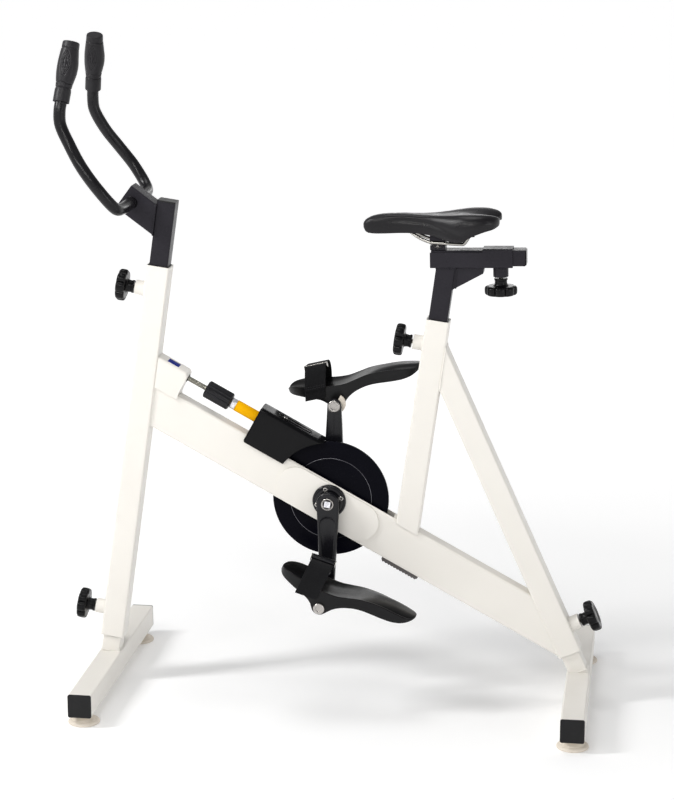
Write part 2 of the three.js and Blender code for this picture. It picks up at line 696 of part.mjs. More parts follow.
function clampKnob(clamp, name, reach) {
  const neckFrom = bossLength + knobGap;
  const headFrom = neckFrom + knobNeckLength;
  const padTip = gap - reach;
  const studTip = padTip + padThick + gap;
  const head = solidOf(lobedHead().translate(headFrom, 0, 0));
  const neck = solidOf(alongX(rod(knobNeckRadius, neckFrom, headFrom + knobBevel, 20)));
  const stud = solidOf(alongX(rod(studRadius, studTip, headFrom, 12)));
  add(clamp, name + '_knob', geometryOf(head.add(neck).add(stud)), blackPlastic);
  add(clamp, name + '_thrust_pad', alongX(rod(padRadius, padTip, padTip + padThick, 12)), steel);
}
const postReach = (tubeSize - postSize) / 2;
clampKnob(columnUpper, 'handlebar', postReach);
clampKnob(columnLower, 'front_foot', postReach);
clampKnob(seatClamp, 'seat_post', postReach);
clampKnob(strutClamp, 'rear_foot', postReach);
clampKnob(slideClamp, 'saddle_slide', channelWall + gap);

// Bearings: a flange on each raised plate, with its hub in the bore
const plateFace = beamWidth / 2 + plateRise;
for (const [side, word] of [[-1, 'left'], [1, 'right']]) {
  const seat = plateFace + gap;
  const inner = axleRadius + boreGap;
  const profile = [
    [inner, bearingInset], [bearingHubRadius, bearingInset], [bearingHubRadius, seat], [bearingRadius, seat],
    [bearingRadius, seat + bearingFlange * 0.6], [bearingRadius * 0.9, seat + bearingFlange],
    [inner, seat + bearingFlange], [inner, bearingInset],
  ];
  const bearing = add(beamFrame, word + '_bearing', turned(profile, 28), blackPlastic);
  if (side < 0) bearing.rotation.x = Math.PI;
}

// Axle with its bolt heads, and the grooved brake disc
const crankFrame = frameIn(bike, axlePlace.x, axlePlace.z, 0);
const crankOuter = crankInset + crankThick;
const boltFace = crankOuter + gap;
const boltEnd = boltFace + crankBoltHigh;
const halfAxle = [
  [axleRadius, boltFace], [crankBoltRadius, boltFace], [crankBoltRadius, boltFace + crankBoltHigh / 2],
  [crankBoltRadius * 0.85, boltEnd], [0, boltEnd],
];
const otherAxle = halfAxle.map(([r, y]) => [r, -y]).reverse();
add(crankFrame, 'crank_axle', turned([...otherAxle, ...halfAxle], 20), steel);

const discHalf = discThick / 2;
const hubHalf = discHubThick / 2;
const halfDisc = [
  [discHubRadius, hubHalf], [discHubRadius, discHalf], [discGrooveRadius - discGroove, discHalf],
  [discGrooveRadius, discHalf - discGroove / 2], [discGrooveRadius + discGroove, discHalf],
  [discRadius - discChamfer, discHalf], [discRadius, discHalf - discChamfer],
];
const discBore = axleRadius + gap;
const otherHalf = halfDisc.map(([r, y]) => [r, -y]).reverse();
const discBack = [[discBore, -hubHalf], [discBore, hubHalf]];
const discProfile = [[discBore, hubHalf], ...halfDisc, ...otherHalf, ...discBack];
add(crankFrame, 'brake_disc', turned(discProfile, 48), discBlack);

// Cranks: a tapered arm that steps outwards, with a sunk panel on its outer face
const armTurnShares = [0.06, 0.16, 0.28, 0.4, 0.5];
const armWayShares = [0.25, 0.45, 0.6, 0.75, 0.91];
function armBody(top, bottom, big, small, inner, outer, bevel) {
  const stations = [];
  for (const share of armTurnShares) {
    const turn = share * Math.PI;
    stations.push([top + big * Math.cos(turn), big * Math.sin(turn)]);
  }
  for (const share of armWayShares) {
    stations.push([THREE.MathUtils.lerp(top, bottom, share), THREE.MathUtils.lerp(big, small, share)]);
  }
  for (const share of armTurnShares.slice().reverse()) {
    const turn = share * Math.PI;
    stations.push([bottom - small * Math.cos(turn), small * Math.sin(turn)]);
  }
  const [start, end] = [-crankBossRadius, crankEndRadius - crankLength];
  return loft(stations.map(([z, half]) => {
    const step = crankInset + crankOffset * (1 - THREE.MathUtils.smoothstep(z, end, start));
    const cut = Math.min(bevel, half / 2);
    const right = [[half - cut, inner], [half, inner + cut], [half, outer - cut], [half - cut, outer]];
    const left = right.slice().reverse().map(([x, y]) => [-x, y]);
    return [...right, ...left].map(([x, y]) => new THREE.Vector3(x, y + step, z));
  }));
}

function crank(name) {
  let body = solidOf(armBody(0, -crankLength, crankBossRadius, crankEndRadius, 0, crankThick, crankBevel));
  const panelTop = -crankBossRadius - crankPanelEdge;
  const panelLow = crankEndRadius * 2 + crankPanelEdge - crankLength;
  const [panelBig, panelSmall] = [crankEndRadius - crankPanelEdge / 2, crankEndRadius - crankPanelEdge];
  const [panelIn, panelOut] = [crankThick - crankPanelDeep, crankThick + crankPanelDeep];
  const sunk = armBody(panelTop, panelLow, panelBig, panelSmall, panelIn, panelOut, gap);
  body = body.subtract(solidOf(sunk));
  body = body.subtract(solidOf(rod(axleRadius + gap, 0, overrun * 2, 28)));
  body = body.subtract(solidOf(rod(spindleRadius + gap, 0, overrun * 3, 20).translate(0, 0, -crankLength)));
  return add(crankFrame, name, geometryOf(body), blackPlastic);
}
crank('right_crank').rotation.y = Math.PI;
crank('left_crank').rotation.z = Math.PI;

// Pedals: a moulded shoe-like tray lofted from toe to heel, on a boss that turns on the spindle
const pedalShares = [
  [0, 0.2, 0.78, 0.87], [0.012, 0.42, 0.68, 0.93], [0.045, 0.68, 0.53, 0.95], [0.1, 0.88, 0.36, 0.94],
  [0.17, 0.97, 0.18, 0.89], [0.25, 1, 0.03, 0.8], [0.34, 1, 0, 0.72], [0.44, 0.98, 0.12, 0.7],
  [0.53, 0.92, 0.27, 0.77], [0.63, 0.85, 0.36, 0.87], [0.73, 0.8, 0.39, 0.92], [0.83, 0.78, 0.42, 0.92],
  [0.91, 0.7, 0.48, 0.87], [0.965, 0.55, 0.55, 0.81], [1, 0.3, 0.62, 0.75],
];
const pedalSectionShares = [
  [0, 0.9], [0.5, 0.91], [0.8, 0.97], [0.93, 1], [1, 0.88], [1, 0.35], [0.93, 0.1], [0.75, 0], [0, 0],
];
function pedalRing([along, half, low, high]) {
  const x = (pedalToe + pedalHeel) * along - pedalToe;
  const wide = pedalWidth / 2 * half;
  const right = pedalSectionShares.map(([y, z]) => [wide * y, pedalHigh * (low + (high - low) * z)]);
  const left = right.slice(1, -1).reverse().map(([y, z]) => [-y, z]);
  return [...right, ...left].map(([y, z]) => new THREE.Vector3(x, y, z));
}

function lugShape() {
  const shape = new THREE.Shape();
  const r = pedalBossRadius;
  const [front, back, top] = [r * 2.1, r * 2.4, r * 0.9];
  shape.moveTo(-front, top);
  shape.quadraticCurveTo(-r * 1.15, top * 0.35, -r * Math.cos(0.35), -r * Math.sin(0.35));
  shape.absarc(0, 0, r, Math.PI + 0.35, 2 * Math.PI - 0.35);
  shape.quadraticCurveTo(r * 1.3, top * 0.3, back, top);
  return shape;
}

function strapShape() {
  const half = pedalWidth / 2 + gap;
  const arch = (y, top, corner) => {
    const path = new THREE.Path();
    path.moveTo(y, strapBottom);
    path.lineTo(y, top - corner);
    path.absarc(y - corner, top - corner, corner, 0, Math.PI / 2);
    path.absarc(corner - y, top - corner, corner, Math.PI / 2, Math.PI);
    path.lineTo(-y, strapBottom);
    return path.getPoints(6);
  };
  const outer = arch(half + strapThick, strapTop, strapCorner);
  const inner = arch(half, strapTop - strapThick, strapCorner - strapThick).reverse();
  return new THREE.Shape([...outer, ...inner]);
}

function pedal(side, word, turn) {
  const home = frameIn(crankFrame, 0, side < 0 ? -crankLength : crankLength, turn);
  home.position.y = side * pedalMiddle;
  const tray = solidOf(loft(pedalShares.map(pedalRing)));
  const lug = solidOf(slab(lugShape(), pedalWidth, 8));
  const bore = solidOf(rod(spindleRadius + gap, -pedalWidth, pedalWidth, 20));
  const [hollowHalf, hollowTop] = [pedalWidth * 0.3, pedalBossRadius * 0.3];
  const hollow = block(-pedalToe * 0.2, pedalHeel * 0.1, -hollowHalf, hollowHalf, -pedalHigh, hollowTop);
  const body = tray.add(lug.subtract(solidOf(hollow))).subtract(bore);
  add(home, word + '_pedal', geometryOf(body), blackPlastic);
  const strap = extruded(strapShape(), strapWide, 6).rotateX(Math.PI / 2).rotateZ(Math.PI / 2);
  strap.translate(-strapBack - strapWide, 0, 0).rotateY(strapLean);
  add(home, word + '_pedal_strap', facingOut(strap), webbing);
  const crankFace = crankInset + crankOffset;
  const [from, to] = [crankFace - gap, pedalMiddle + pedalWidth / 2 + gap];
  const nut = crankInset + crankOffset - gap;
  const profile = [
    [0, nut - spindleBoltHigh], [spindleBoltRadius, nut - spindleBoltHigh], [spindleBoltRadius, from],
    [spindleRadius, from], [spindleRadius, to], [spindleBoltRadius, to],
    [spindleBoltRadius * 0.8, to + spindleBoltHigh], [0, to + spindleBoltHigh],
  ];
  const spindle = add(crankFrame, word + '_pedal_spindle', turned(profile, 18), steel);
  spindle.position.z = side < 0 ? -crankLength : crankLength;
  if (side < 0) spindle.rotation.x = Math.PI;
}
pedal(-1, 'left', leftPedalAngle);
pedal(1, 'right', rightPedalAngle);

// Where the rod's line leaves the column's rear face, before the axle
const columnFace = new THREE.Vector3(tubeSize / 2 + gap, 0, 0).applyMatrix4(columnFrame.matrixWorld);
const columnWay = new THREE.Vector3(0, 0, 1).transformDirection(columnFrame.matrixWorld);
const beamHome = beamFrame.matrixWorld.clone().invert();
columnFace.applyMatrix4(beamHome);
columnWay.transformDirection(beamHome);
const housingStart = columnFace.x + (columnWay.x * (rodHigh - columnFace.z)) / columnWay.z;
const housingEnd = -housingStart - housingLength;

// Places along the rod: its free thread, the knob, the collar and the sleeve share the way to the cover
const coverArc = discRadius + coverArcGap;
const coverFront = coverArc + coverReach;
const freeWay = housingEnd - coverFront - turnKnobLength - collarThick - 2 * gap;
const turnKnobFront = housingEnd - freeWay * rodFreeShare;
const collarFrom = turnKnobLength - turnKnobFront + gap;
const sleeveFrom = collarFrom + collarThick + gap;
const sleeveTo = -coverFront + sleeveIn;
const rodEnd = sleeveFrom + (sleeveTo - sleeveFrom) * rodInSleeveShare;

// Tension housing: a sheet cover on the beam, cut to the column, with a wall for the rod
const housingShape = new THREE.Shape();
housingShape.moveTo(-baseSpan, beamTop - housingSkirt);
housingShape.lineTo(-housingEnd, beamTop - housingSkirt);
housingShape.lineTo(-housingEnd, housingTop - housingCorner);
housingShape.absarc(-housingEnd - housingCorner, housingTop - housingCorner, housingCorner, 0, Math.PI / 2);
housingShape.lineTo(-baseSpan, housingTop);
let housing = solidOf(slab(housingShape, housingWidth));
housing = housing.subtract(carried(beyond(tubeSize / 2 + gap, -1), columnFrame, beamFrame));
housing = housing.subtract(solidOf(beamRoom));
const housingInside = housingWidth / 2 - housingWall;
const [housingBack, housingRoof] = [-housingEnd - housingWall, housingTop - housingWall];
const hollowHousing = block(-farAway, housingBack, -housingInside, housingInside, beamTop - gap, housingRoof);
housing = housing.subtract(solidOf(hollowHousing));
const rodRoom = alongX(rod(rodRadius + gap, -farAway, farAway, 20)).translate(0, 0, rodHigh);
housing = housing.subtract(solidOf(rodRoom));
add(beamFrame, 'tension_housing', geometryOf(housing), whitePaint);

// Threaded rod, knurled turn knob, collar, amber sleeve and the brake pad that they push
const rodLine = frameIn(beamFrame, 0, rodHigh, 0);
add(rodLine, 'tension_rod', alongX(rod(rodRadius, -housingEnd - rodIn, rodEnd, 16)), steel);

function ribbedShape(radius, ribs, deep) {
  const points = [];
  for (let i = 0; i < ribs; i += 1) {
    for (const [share, out] of [[0, 1], [0.4, 1], [0.55, 0], [0.85, 0]]) {
      const turn = (2 * Math.PI * (i + share)) / ribs;
      const r = radius - deep * (1 - out);
      points.push([r * Math.cos(turn), r * Math.sin(turn)]);
    }
  }
  return outline(points);
}
const turnShape = ribbedShape(turnKnobRadius, turnKnobRibs, turnKnobRibDeep);
turnShape.holes.push(new THREE.Path().absarc(0, 0, rodRadius + gap, 0, 2 * Math.PI));
const turnKnob = facingOut(extruded(turnShape, turnKnobLength, 10).rotateY(Math.PI / 2));
add(rodLine, 'tension_knob', turnKnob, blackPlastic).position.x = -turnKnobFront;

const collarRing = ring(rodRadius + gap, collarRadius, collarFrom, collarFrom + collarThick, 28);
add(rodLine, 'tension_collar', alongX(collarRing), chrome);
const sleeveTube = ring(sleeveRadius - sleeveWall, sleeveRadius, sleeveFrom, sleeveTo, 28);
add(rodLine, 'tension_sleeve', alongX(sleeveTube), amber);

// Brake pad: a block whose rear face follows the disc
const discEdge = -Math.sqrt(discRadius ** 2 - rodHigh ** 2);
const [padBack, padHalf] = [discEdge + brakePadLength, brakePadWide / 2];
const [padLow, padHigh] = [rodHigh - brakePadHalf, rodHigh + brakePadHalf];
let brakePad = solidOf(block(sleeveTo + gap, padBack, -padHalf, padHalf, padLow, padHigh));
brakePad = brakePad.subtract(solidOf(rod(discRadius + brakePadGap, -brakePadWide, brakePadWide, 96)));
add(beamFrame, 'brake_pad', geometryOf(brakePad), blackRubber);

// Brake cover: a hollow moulding that straddles the beam and follows the disc's edge
const coverLow = beamTop - coverSkirt;
const coverShape = new THREE.Shape();
coverShape.moveTo(-coverFront, coverLow);
coverShape.lineTo(-coverFront, coverTop);
const coverTurn = (height) => Math.PI - Math.asin(height / coverArc);
coverShape.absarc(0, 0, coverArc, coverTurn(coverTop), coverTurn(coverLow));
const coverBody = new THREE.ExtrudeGeometry(coverShape, {
  depth: 2 * (coverHalf - coverBevel), bevelThickness: coverBevel, bevelSize: coverBevel,
  bevelOffset: -coverBevel, bevelSegments: 2, curveSegments: 6,
});
let cover = solidOf(coverBody.rotateX(Math.PI / 2).translate(0, coverHalf - coverBevel, 0));
const coverInside = coverHalf - coverWall;
const coverIn = -coverFront + coverWall;
const coverRoom = block(coverIn, 0, -coverInside, coverInside, beamTop + coverWall, coverTop - coverWall);
cover = cover.subtract(solidOf(coverRoom)).subtract(solidOf(beamRoom));
cover = cover.subtract(solidOf(block(coverIn, 0, -beamSide, beamSide, coverLow, beamTop + overrun)));
const sleeveRoom = alongX(rod(sleeveRadius + boreGap, -coverFront - overrun, -coverFront + overrun, 28));
cover = cover.subtract(solidOf(sleeveRoom.translate(0, 0, rodHigh)));
add(beamFrame, 'brake_cover', geometryOf(cover), blackPlastic);

// Ribbed rest under the beam
const restShape = new THREE.Shape();
restShape.moveTo(restStart, beamUnder - gap);
restShape.lineTo(restStart, beamUnder - gap - restThick / 2);
const ribStep = (restLength - restThick) / restRibs;
for (let i = 0; i <= restRibs; i += 1) {
  const x = restStart + restThick / 2 + ribStep * i;
  restShape.lineTo(x, beamUnder - gap - restThick);
  if (i < restRibs) restShape.lineTo(x + ribStep / 2, beamUnder - gap - restThick + restRibDeep);
}
restShape.lineTo(restStart + restLength, beamUnder - gap - restThick / 2);
restShape.lineTo(restStart + restLength, beamUnder - gap);
add(beamFrame, 'beam_rest', slab(restShape, restWide), blackRubber);

// The origin lies on the floor under the middle of the whole bike.
bike.updateMatrixWorld(true);
const around = new THREE.Box3().setFromObject(bike, true);
bike.position.set(-(around.min.x + around.max.x) / 2, -(around.min.y + around.max.y) / 2, -around.min.z);
bike.updateMatrixWorld(true);

export default bike;
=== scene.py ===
import json
from math import asin, atan2, cos, degrees, exp, hypot, pi, radians, sin, sqrt

import bmesh
import bpy
import numpy as np
from mathutils import Matrix, Vector


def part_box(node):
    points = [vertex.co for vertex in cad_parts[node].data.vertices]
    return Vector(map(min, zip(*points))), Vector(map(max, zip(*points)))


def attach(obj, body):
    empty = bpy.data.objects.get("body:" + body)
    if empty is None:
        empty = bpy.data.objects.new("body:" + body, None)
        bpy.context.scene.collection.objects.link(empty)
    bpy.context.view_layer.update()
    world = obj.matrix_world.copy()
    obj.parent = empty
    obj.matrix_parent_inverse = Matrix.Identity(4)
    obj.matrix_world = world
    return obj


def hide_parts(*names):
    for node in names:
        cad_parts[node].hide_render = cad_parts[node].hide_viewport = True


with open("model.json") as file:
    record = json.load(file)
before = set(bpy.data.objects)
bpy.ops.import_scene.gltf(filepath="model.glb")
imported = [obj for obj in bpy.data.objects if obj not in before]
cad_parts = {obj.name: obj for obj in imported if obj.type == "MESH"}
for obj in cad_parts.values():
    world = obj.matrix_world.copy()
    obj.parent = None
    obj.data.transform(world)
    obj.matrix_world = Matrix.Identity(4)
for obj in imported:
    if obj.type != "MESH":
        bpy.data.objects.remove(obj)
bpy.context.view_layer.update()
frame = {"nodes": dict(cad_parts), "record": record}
nodes = frame["nodes"]
MM = 0.001

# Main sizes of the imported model, in millimetres and degrees
BASE_HALF, FOOT_HALF, FOOT_Z, TUBE_HALF = 512, 300, 73, 25
COLUMN_LEAN, STRUT_LEAN, BEAM_LEAN, SEAT_LEAN = 8.1, -24.4, 28.45, 7.7
SLIDE_LEAN, BRACKET_LEAN, BRACKET_Z = -1.4, 28.3, 993.7
COLUMN_LOW, COLUMN_TOP, STRUT_LOW, SEAT_TOP, POST_LENGTH = 36, 868, 45, 498.5, 611.5
CRANK_X, CRANK_Z, CRANK_LENGTH = -25, 435, 190
ROD_Z, CLAMP_DROP = 76.2, 56
SIDES = ((-1, "left"), (1, "right"))
lo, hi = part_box("crank_axle")
SHIFT = (lo.x + hi.x) / 2 / MM - CRANK_X


def turned(parent, x, z, deg=0, y=0):
    """A frame at (x, y, z) mm in its parent's frame, turned about Y."""
    place = Matrix.Translation((x * MM, y * MM, z * MM))
    return parent @ (place @ Matrix.Rotation(radians(deg), 4, "Y"))


def sideways(home, side, z=0):
    """A home whose X axis points across the bike, outwards on the given side."""
    return turned(home, 0, z) @ Matrix.Rotation(radians(90 * side), 4, "Z")


# Frames of the tubes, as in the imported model
ROW = Matrix.Identity(4)
COLUMN = turned(ROW, -BASE_HALF + SHIFT, FOOT_Z, COLUMN_LEAN)
STRUT = turned(ROW, BASE_HALF + SHIFT, FOOT_Z, STRUT_LEAN)
BEAM = turned(ROW, CRANK_X + SHIFT, CRANK_Z, BEAM_LEAN)
SEAT = turned(BEAM, 188, -8.8, SEAT_LEAN - BEAM_LEAN)
SLIDE = turned(SEAT, 0, POST_LENGTH, SLIDE_LEAN - SEAT_LEAN)
SADDLE = turned(SLIDE, -16, 53, -SLIDE_LEAN)
BRACKET = turned(COLUMN, -72.7, BRACKET_Z, BRACKET_LEAN)
BAR = turned(BRACKET, 0, 0, -BRACKET_LEAN - COLUMN_LEAN)
CRANK = turned(ROW, CRANK_X + SHIFT, CRANK_Z)
ROD = turned(BEAM, 0, ROD_Z)


# Materials
class Nodes:
    """A node tree in the making."""

    def __init__(self, name, owners=bpy.data.materials, shader="Principled BSDF"):
        self.owner = owners.new(name)
        self.owner.use_nodes = True
        self.tree = self.owner.node_tree
        self.shader = self.tree.nodes[shader]

    def feed(self, socket, value):
        """Links a socket to another, or sets its value."""
        if isinstance(value, bpy.types.NodeSocket):
            self.tree.links.new(value, socket)
        else:
            socket.default_value = value

    def add(self, kind, *values, **named):
        """A node; values go to its first sockets, names to its settings or sockets."""
        n = self.tree.nodes.new(kind)
        for key, value in named.items():
            if key in n.inputs:
                self.feed(n.inputs[key], value)
            else:
                setattr(n, key, value)
        for socket, value in zip(n.inputs, values):
            self.feed(socket, value)
        return n

    def coords(self):
        return self.add("ShaderNodeTexCoord").outputs["Object"]

    def noise(self, scale, detail=4, rough=0.5):
        n = self.add("ShaderNodeTexNoise", Scale=scale, Detail=detail, Roughness=rough, Vector=self.coords())
        return n.outputs["Fac"]

    def span(self, value, a, b, c=0, d=1):
        return self.add("ShaderNodeMapRange", value, a, b, c, d).outputs[0]

    def mix(self, fac, a, b):
        n = self.add("ShaderNodeMix", fac, data_type="RGBA")
        for socket, value in ((n.inputs[6], a), (n.inputs[7], b)):
            self.feed(socket, (*value, 1) if isinstance(value, tuple) else value)
        return n.outputs[2]

    def math(self, op, *values):
        return self.add("ShaderNodeMath", *values, operation=op).outputs[0]

    def bump(self, height, distance, strength=1, below=None):
        n = self.add("ShaderNodeBump", Strength=strength, Distance=distance, Height=height)
        if below is not None:
            self.feed(n.inputs["Normal"], below)
        return n.outputs["Normal"]

    def finish(self, colour, rough, normal, spec, others=()):
        """Feeds the shader and returns the material."""
        values = {"Base Color": colour, "Roughness": rough, "Specular IOR Level": spec, **dict(others)}
        if normal:
            values["Normal"] = normal
        for name, value in values.items():
            self.feed(self.shader.inputs[name], value)
        return self.owner


def powder_coat(name, colour, shade, rough, peel, coat, spec):
    """Sprayed powder coat: orange peel, faint mottling and uneven gloss."""
    n = Nodes(name)
    wave = n.bump(n.noise(420, 2, 0.4), 0.00025, peel)
    return n.finish(n.mix(n.span(n.noise(9, 5), 0.35, 0.7), colour, shade),
                    n.span(n.noise(38, 6, 0.6), 0.3, 0.7, rough - 0.06, rough + 0.07),
                    n.bump(n.noise(1500, 2, 0.6), 0.00008, peel, wave), spec,
                    {"Coat Weight": coat, "Coat Roughness": 0.25})


def moulded(name, colour, shade, rough, grain, spec=0.5, scale=1600):
    """Moulded plastic: fine spark-eroded grain, scuffs that dull it, and slight colour drift."""
    n = Nodes(name)
    cell = n.add("ShaderNodeTexVoronoi", feature="F1", Scale=scale, Vector=n.coords())
    return n.finish(n.mix(n.span(n.noise(14, 6, 0.6), 0.35, 0.7), colour, shade),
                    n.span(n.noise(70, 8, 0.7), 0.42, 0.66, rough, rough + 0.06),
                    n.bump(cell.outputs["Distance"], 0.00012, grain), spec)


def metal(name, colour, shade, rough, scratch, metallic=1, spec=0.5):
    """Polished or machined metal: fine drawn lines and cloudy roughness."""
    n = Nodes(name)
    lines = n.noise(260, 6, 0.7)
    return n.finish(n.mix(n.noise(25, 5), colour, shade),
                    n.span(lines, 0.3, 0.7, max(rough - 0.05, 0.02), rough + 0.08),
                    n.bump(lines, 0.00006, scratch), spec, {"Metallic": metallic})


def vinyl(name, colour, shade):
    """Soft grained vinyl: pebbled cells, tiny creases and a faint sheen."""
    n = Nodes(name)
    warp = n.add("ShaderNodeTexNoise", Scale=160, Vector=n.coords())
    push = n.add("ShaderNodeVectorMath", warp.outputs["Color"], (0.0012,) * 3, n.coords(),
                 operation="MULTIPLY_ADD")
    cell = n.add("ShaderNodeTexVoronoi", feature="DISTANCE_TO_EDGE", Scale=620, Vector=push.outputs[0])
    crease = n.bump(n.noise(45, 3, 0.5), 0.0012, 0.07)
    return n.finish(n.mix(n.noise(30, 6), colour, shade), n.span(n.noise(60, 6), 0.3, 0.7, 0.26, 0.36),
                    n.bump(n.span(cell.outputs["Distance"], 0, 0.18), 0.00018, 0.22, crease), 0.26,
                    {"Sheen Weight": 0.03, "Sheen Roughness": 0.4, "Sheen Tint": (0.75, 0.7, 0.85, 1)})


def woven(name, colour):
    """Ribbed webbing: cords across the width, counted along its run, and fine yarn over them. The gaps
    between the cords carry painted shade.
    """
    pitch = 0.0016
    n = Nodes(name)
    run = n.add("ShaderNodeAttribute", attribute_name="run")
    rib = n.span(n.math("SINE", n.math("MULTIPLY", run.outputs["Fac"], 2 * pi / pitch)), -1, 1)
    yarn = n.noise(1400, 3)
    lit = n.mix(n.span(yarn, 0.3, 0.7), colour, tuple(c * 2.2 for c in colour))
    # Painted shade: the colour falls to 0.4 of itself in the gaps between the cords.
    return n.finish(n.mix(rib, tuple(c * 0.4 for c in colour), lit),
                    n.span(n.noise(300, 4), 0.3, 0.7, 0.75, 0.95),
                    n.bump(yarn, 0.0002, 0.5, n.bump(rib, 0.0005, 0.9)), 0.15, {"Sheen Weight": 0.04})


# Each look: colour, shade, roughness, strength of the relief, and the rest as its function says
WHITE = powder_coat("white_coat", (0.79, 0.763, 0.712), (0.775, 0.747, 0.697), 0.36, 0.14, 0.08, 0.3)
BLACK = powder_coat("black_coat", (0.02, 0.0186, 0.0232), (0.0236, 0.022, 0.0272), 0.28, 0.2, 0, 0.1)
TUBE_BLACK = powder_coat("tube_black", (0.005, 0.0048, 0.006), (0.0065, 0.006, 0.0072), 0.26, 0.03, 0, 0.24)
PLASTIC = moulded("black_plastic", (0.003, 0.003, 0.0035), (0.0045, 0.0045, 0.005), 0.2, 0.2, 0.17)
PEDAL = moulded("pedal_plastic", (0.0045, 0.0045, 0.005), (0.006, 0.006, 0.0068), 0.28, 0.5, 0.2, 1000)
RUBBER = moulded("grip_rubber", (0.013, 0.0122, 0.014), (0.018, 0.0172, 0.0196), 0.36, 0.5, 0.2, 900)
COVER_BLACK = moulded("cover_black", (0.0015, 0.0015, 0.002), (0.0022, 0.0022, 0.0028), 0.16, 0.01, 0.14)
CAST = moulded("cast_black", (0.004, 0.004, 0.0055), (0.007, 0.007, 0.009), 0.17, 0.12, 0.28, 2200)
CAP = moulded("cap_plastic", (0.013, 0.0128, 0.0135), (0.018, 0.0175, 0.0185), 0.3, 0.3, 0.17)
REST_GREY = moulded("rest_grey", (0.075, 0.068, 0.068), (0.12, 0.11, 0.108), 0.5, 0.5, 0.3, 900)
AMBER = moulded("amber_sleeve", (0.82, 0.42, 0), (0.74, 0.36, 0), 0.36, 0.12, 0.06)
CREAM = moulded("cream_plastic", (0.76, 0.69, 0.6), (0.68, 0.61, 0.52), 0.45, 0.3)
BLUE = moulded("blue_film", (0.003, 0.014, 0.2), (0.004, 0.018, 0.23), 0.5, 0.1, 0.02)
CHROME = metal("rail_chrome", (0.46, 0.445, 0.42), (0.28, 0.27, 0.25), 0.1, 0.1)
SILVER = metal("screw_silver", (0.5, 0.48, 0.46), (0.3, 0.285, 0.27), 0.22, 0.4)
PALE_STEEL = metal("pale_steel", (0.86, 0.86, 0.9), (0.78, 0.78, 0.82), 0.42, 0.05)
STEEL = metal("plain_steel", (0.42, 0.41, 0.36), (0.27, 0.26, 0.22), 0.24, 0.5)
LINE_STEEL = metal("groove_steel", (0.2, 0.2, 0.22), (0.1, 0.1, 0.11), 0.16, 0.1)
DISC = metal("disc_black", (0.002, 0.002, 0.004), (0.003, 0.003, 0.006), 0.24, 0.2, 0, 0.035)
VINYL = vinyl("saddle_vinyl", (0.0045, 0.004, 0.005), (0.0075, 0.0068, 0.0085))
WEBBING = woven("strap_webbing", (0.006, 0.006, 0.007))

# The looks of each slot, its own first
SLOTS = {
    "white_frame": [WHITE], "black_frame": [BLACK, TUBE_BLACK], "rubber": [RUBBER, REST_GREY],
    "black_plastic": [PLASTIC, PEDAL, COVER_BLACK, CAST, BLUE], "vinyl": [VINYL], "webbing": [WEBBING],
    "chrome": [CHROME, PALE_STEEL], "steel": [STEEL, LINE_STEEL, SILVER], "amber": [AMBER],
    "cream": [CREAM], "disc": [DISC],
}
for part in frame["record"]["subparts"]:
    mesh = nodes[part["node"]].data
    mesh.materials.clear()
    mesh.materials.append(SLOTS[part["material_slot"]][0])


def round_edges(o, width, angle):
    bevel = o.modifiers.new("bevel", "BEVEL")
    bevel.width, bevel.segments, bevel.limit_method = width * MM, 3, "ANGLE"
    bevel.angle_limit = radians(angle)


# Edges of the CAD nodes that stay: corners welded, edges rounded
CAPS = ("handlebar_post_cap", "front_left_cap", "front_right_cap", "rear_left_cap", "rear_right_cap")
for name in ("front_column", "main_beam", "seat_tube", "rear_strut", "front_foot", "rear_foot",
             "handlebar_post", "handlebar_bracket", "seat_post", "slide_channel", "slide_tube",
             "saddle_clamp_cradle", "saddle_clamp_yoke", "saddle_shell", "beam_rest", *CAPS):
    o = nodes[name]
    o.modifiers.new("weld", "WELD").merge_threshold = 0.00002
    round_edges(o, 0.8, 28)
    for face in o.data.polygons:
        face.use_smooth = True
    even = o.modifiers.new("even", "WEIGHTED_NORMAL")
    even.weight, even.keep_sharp = 100, True
    if name in CAPS:
        o.data.materials[0] = CAP
nodes["beam_rest"].data.materials[0] = REST_GREY


# Shapes built as rings of points in a frame's millimetres
def solid(home, lofts, name, material, body, stands_for=None, sharp=38, bevel=0, first=True, last=True):
    """One mesh of lofts, each made of rings of points; first and last close its ends."""
    points, faces = [], []
    for rings in lofts:
        made = []
        for ring in rings:
            made.append(range(len(points), len(points) + len(ring)))
            points += [Vector(p) for p in ring]
        for a, b in zip(made, made[1:]):
            for i in range(len(a)):
                j = (i + 1) % len(a)
                faces.append((a[i], a[j], b[j], b[i]))
        if first:
            faces.append(tuple(made[0]))
        if last:
            faces.append(tuple(made[-1]))
    mesh = bpy.data.meshes.new(name)
    mesh.from_pydata([tuple(home @ (p * MM)) for p in points], [], faces)
    bm = bmesh.new()
    bm.from_mesh(mesh)
    bmesh.ops.remove_doubles(bm, verts=bm.verts, dist=0.000002)
    bmesh.ops.recalc_face_normals(bm, faces=bm.faces)
    bm.to_mesh(mesh)
    bm.free()
    for face in mesh.polygons:
        face.use_smooth = True
    mesh.set_sharp_from_angle(angle=radians(sharp))
    mesh.materials.append(material)
    o = bpy.data.objects.new(name, mesh)
    bpy.context.scene.collection.objects.link(o)
    if bevel:
        round_edges(o, bevel, 30)
    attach(o, body)
    if stands_for:
        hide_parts(stands_for)
    return o


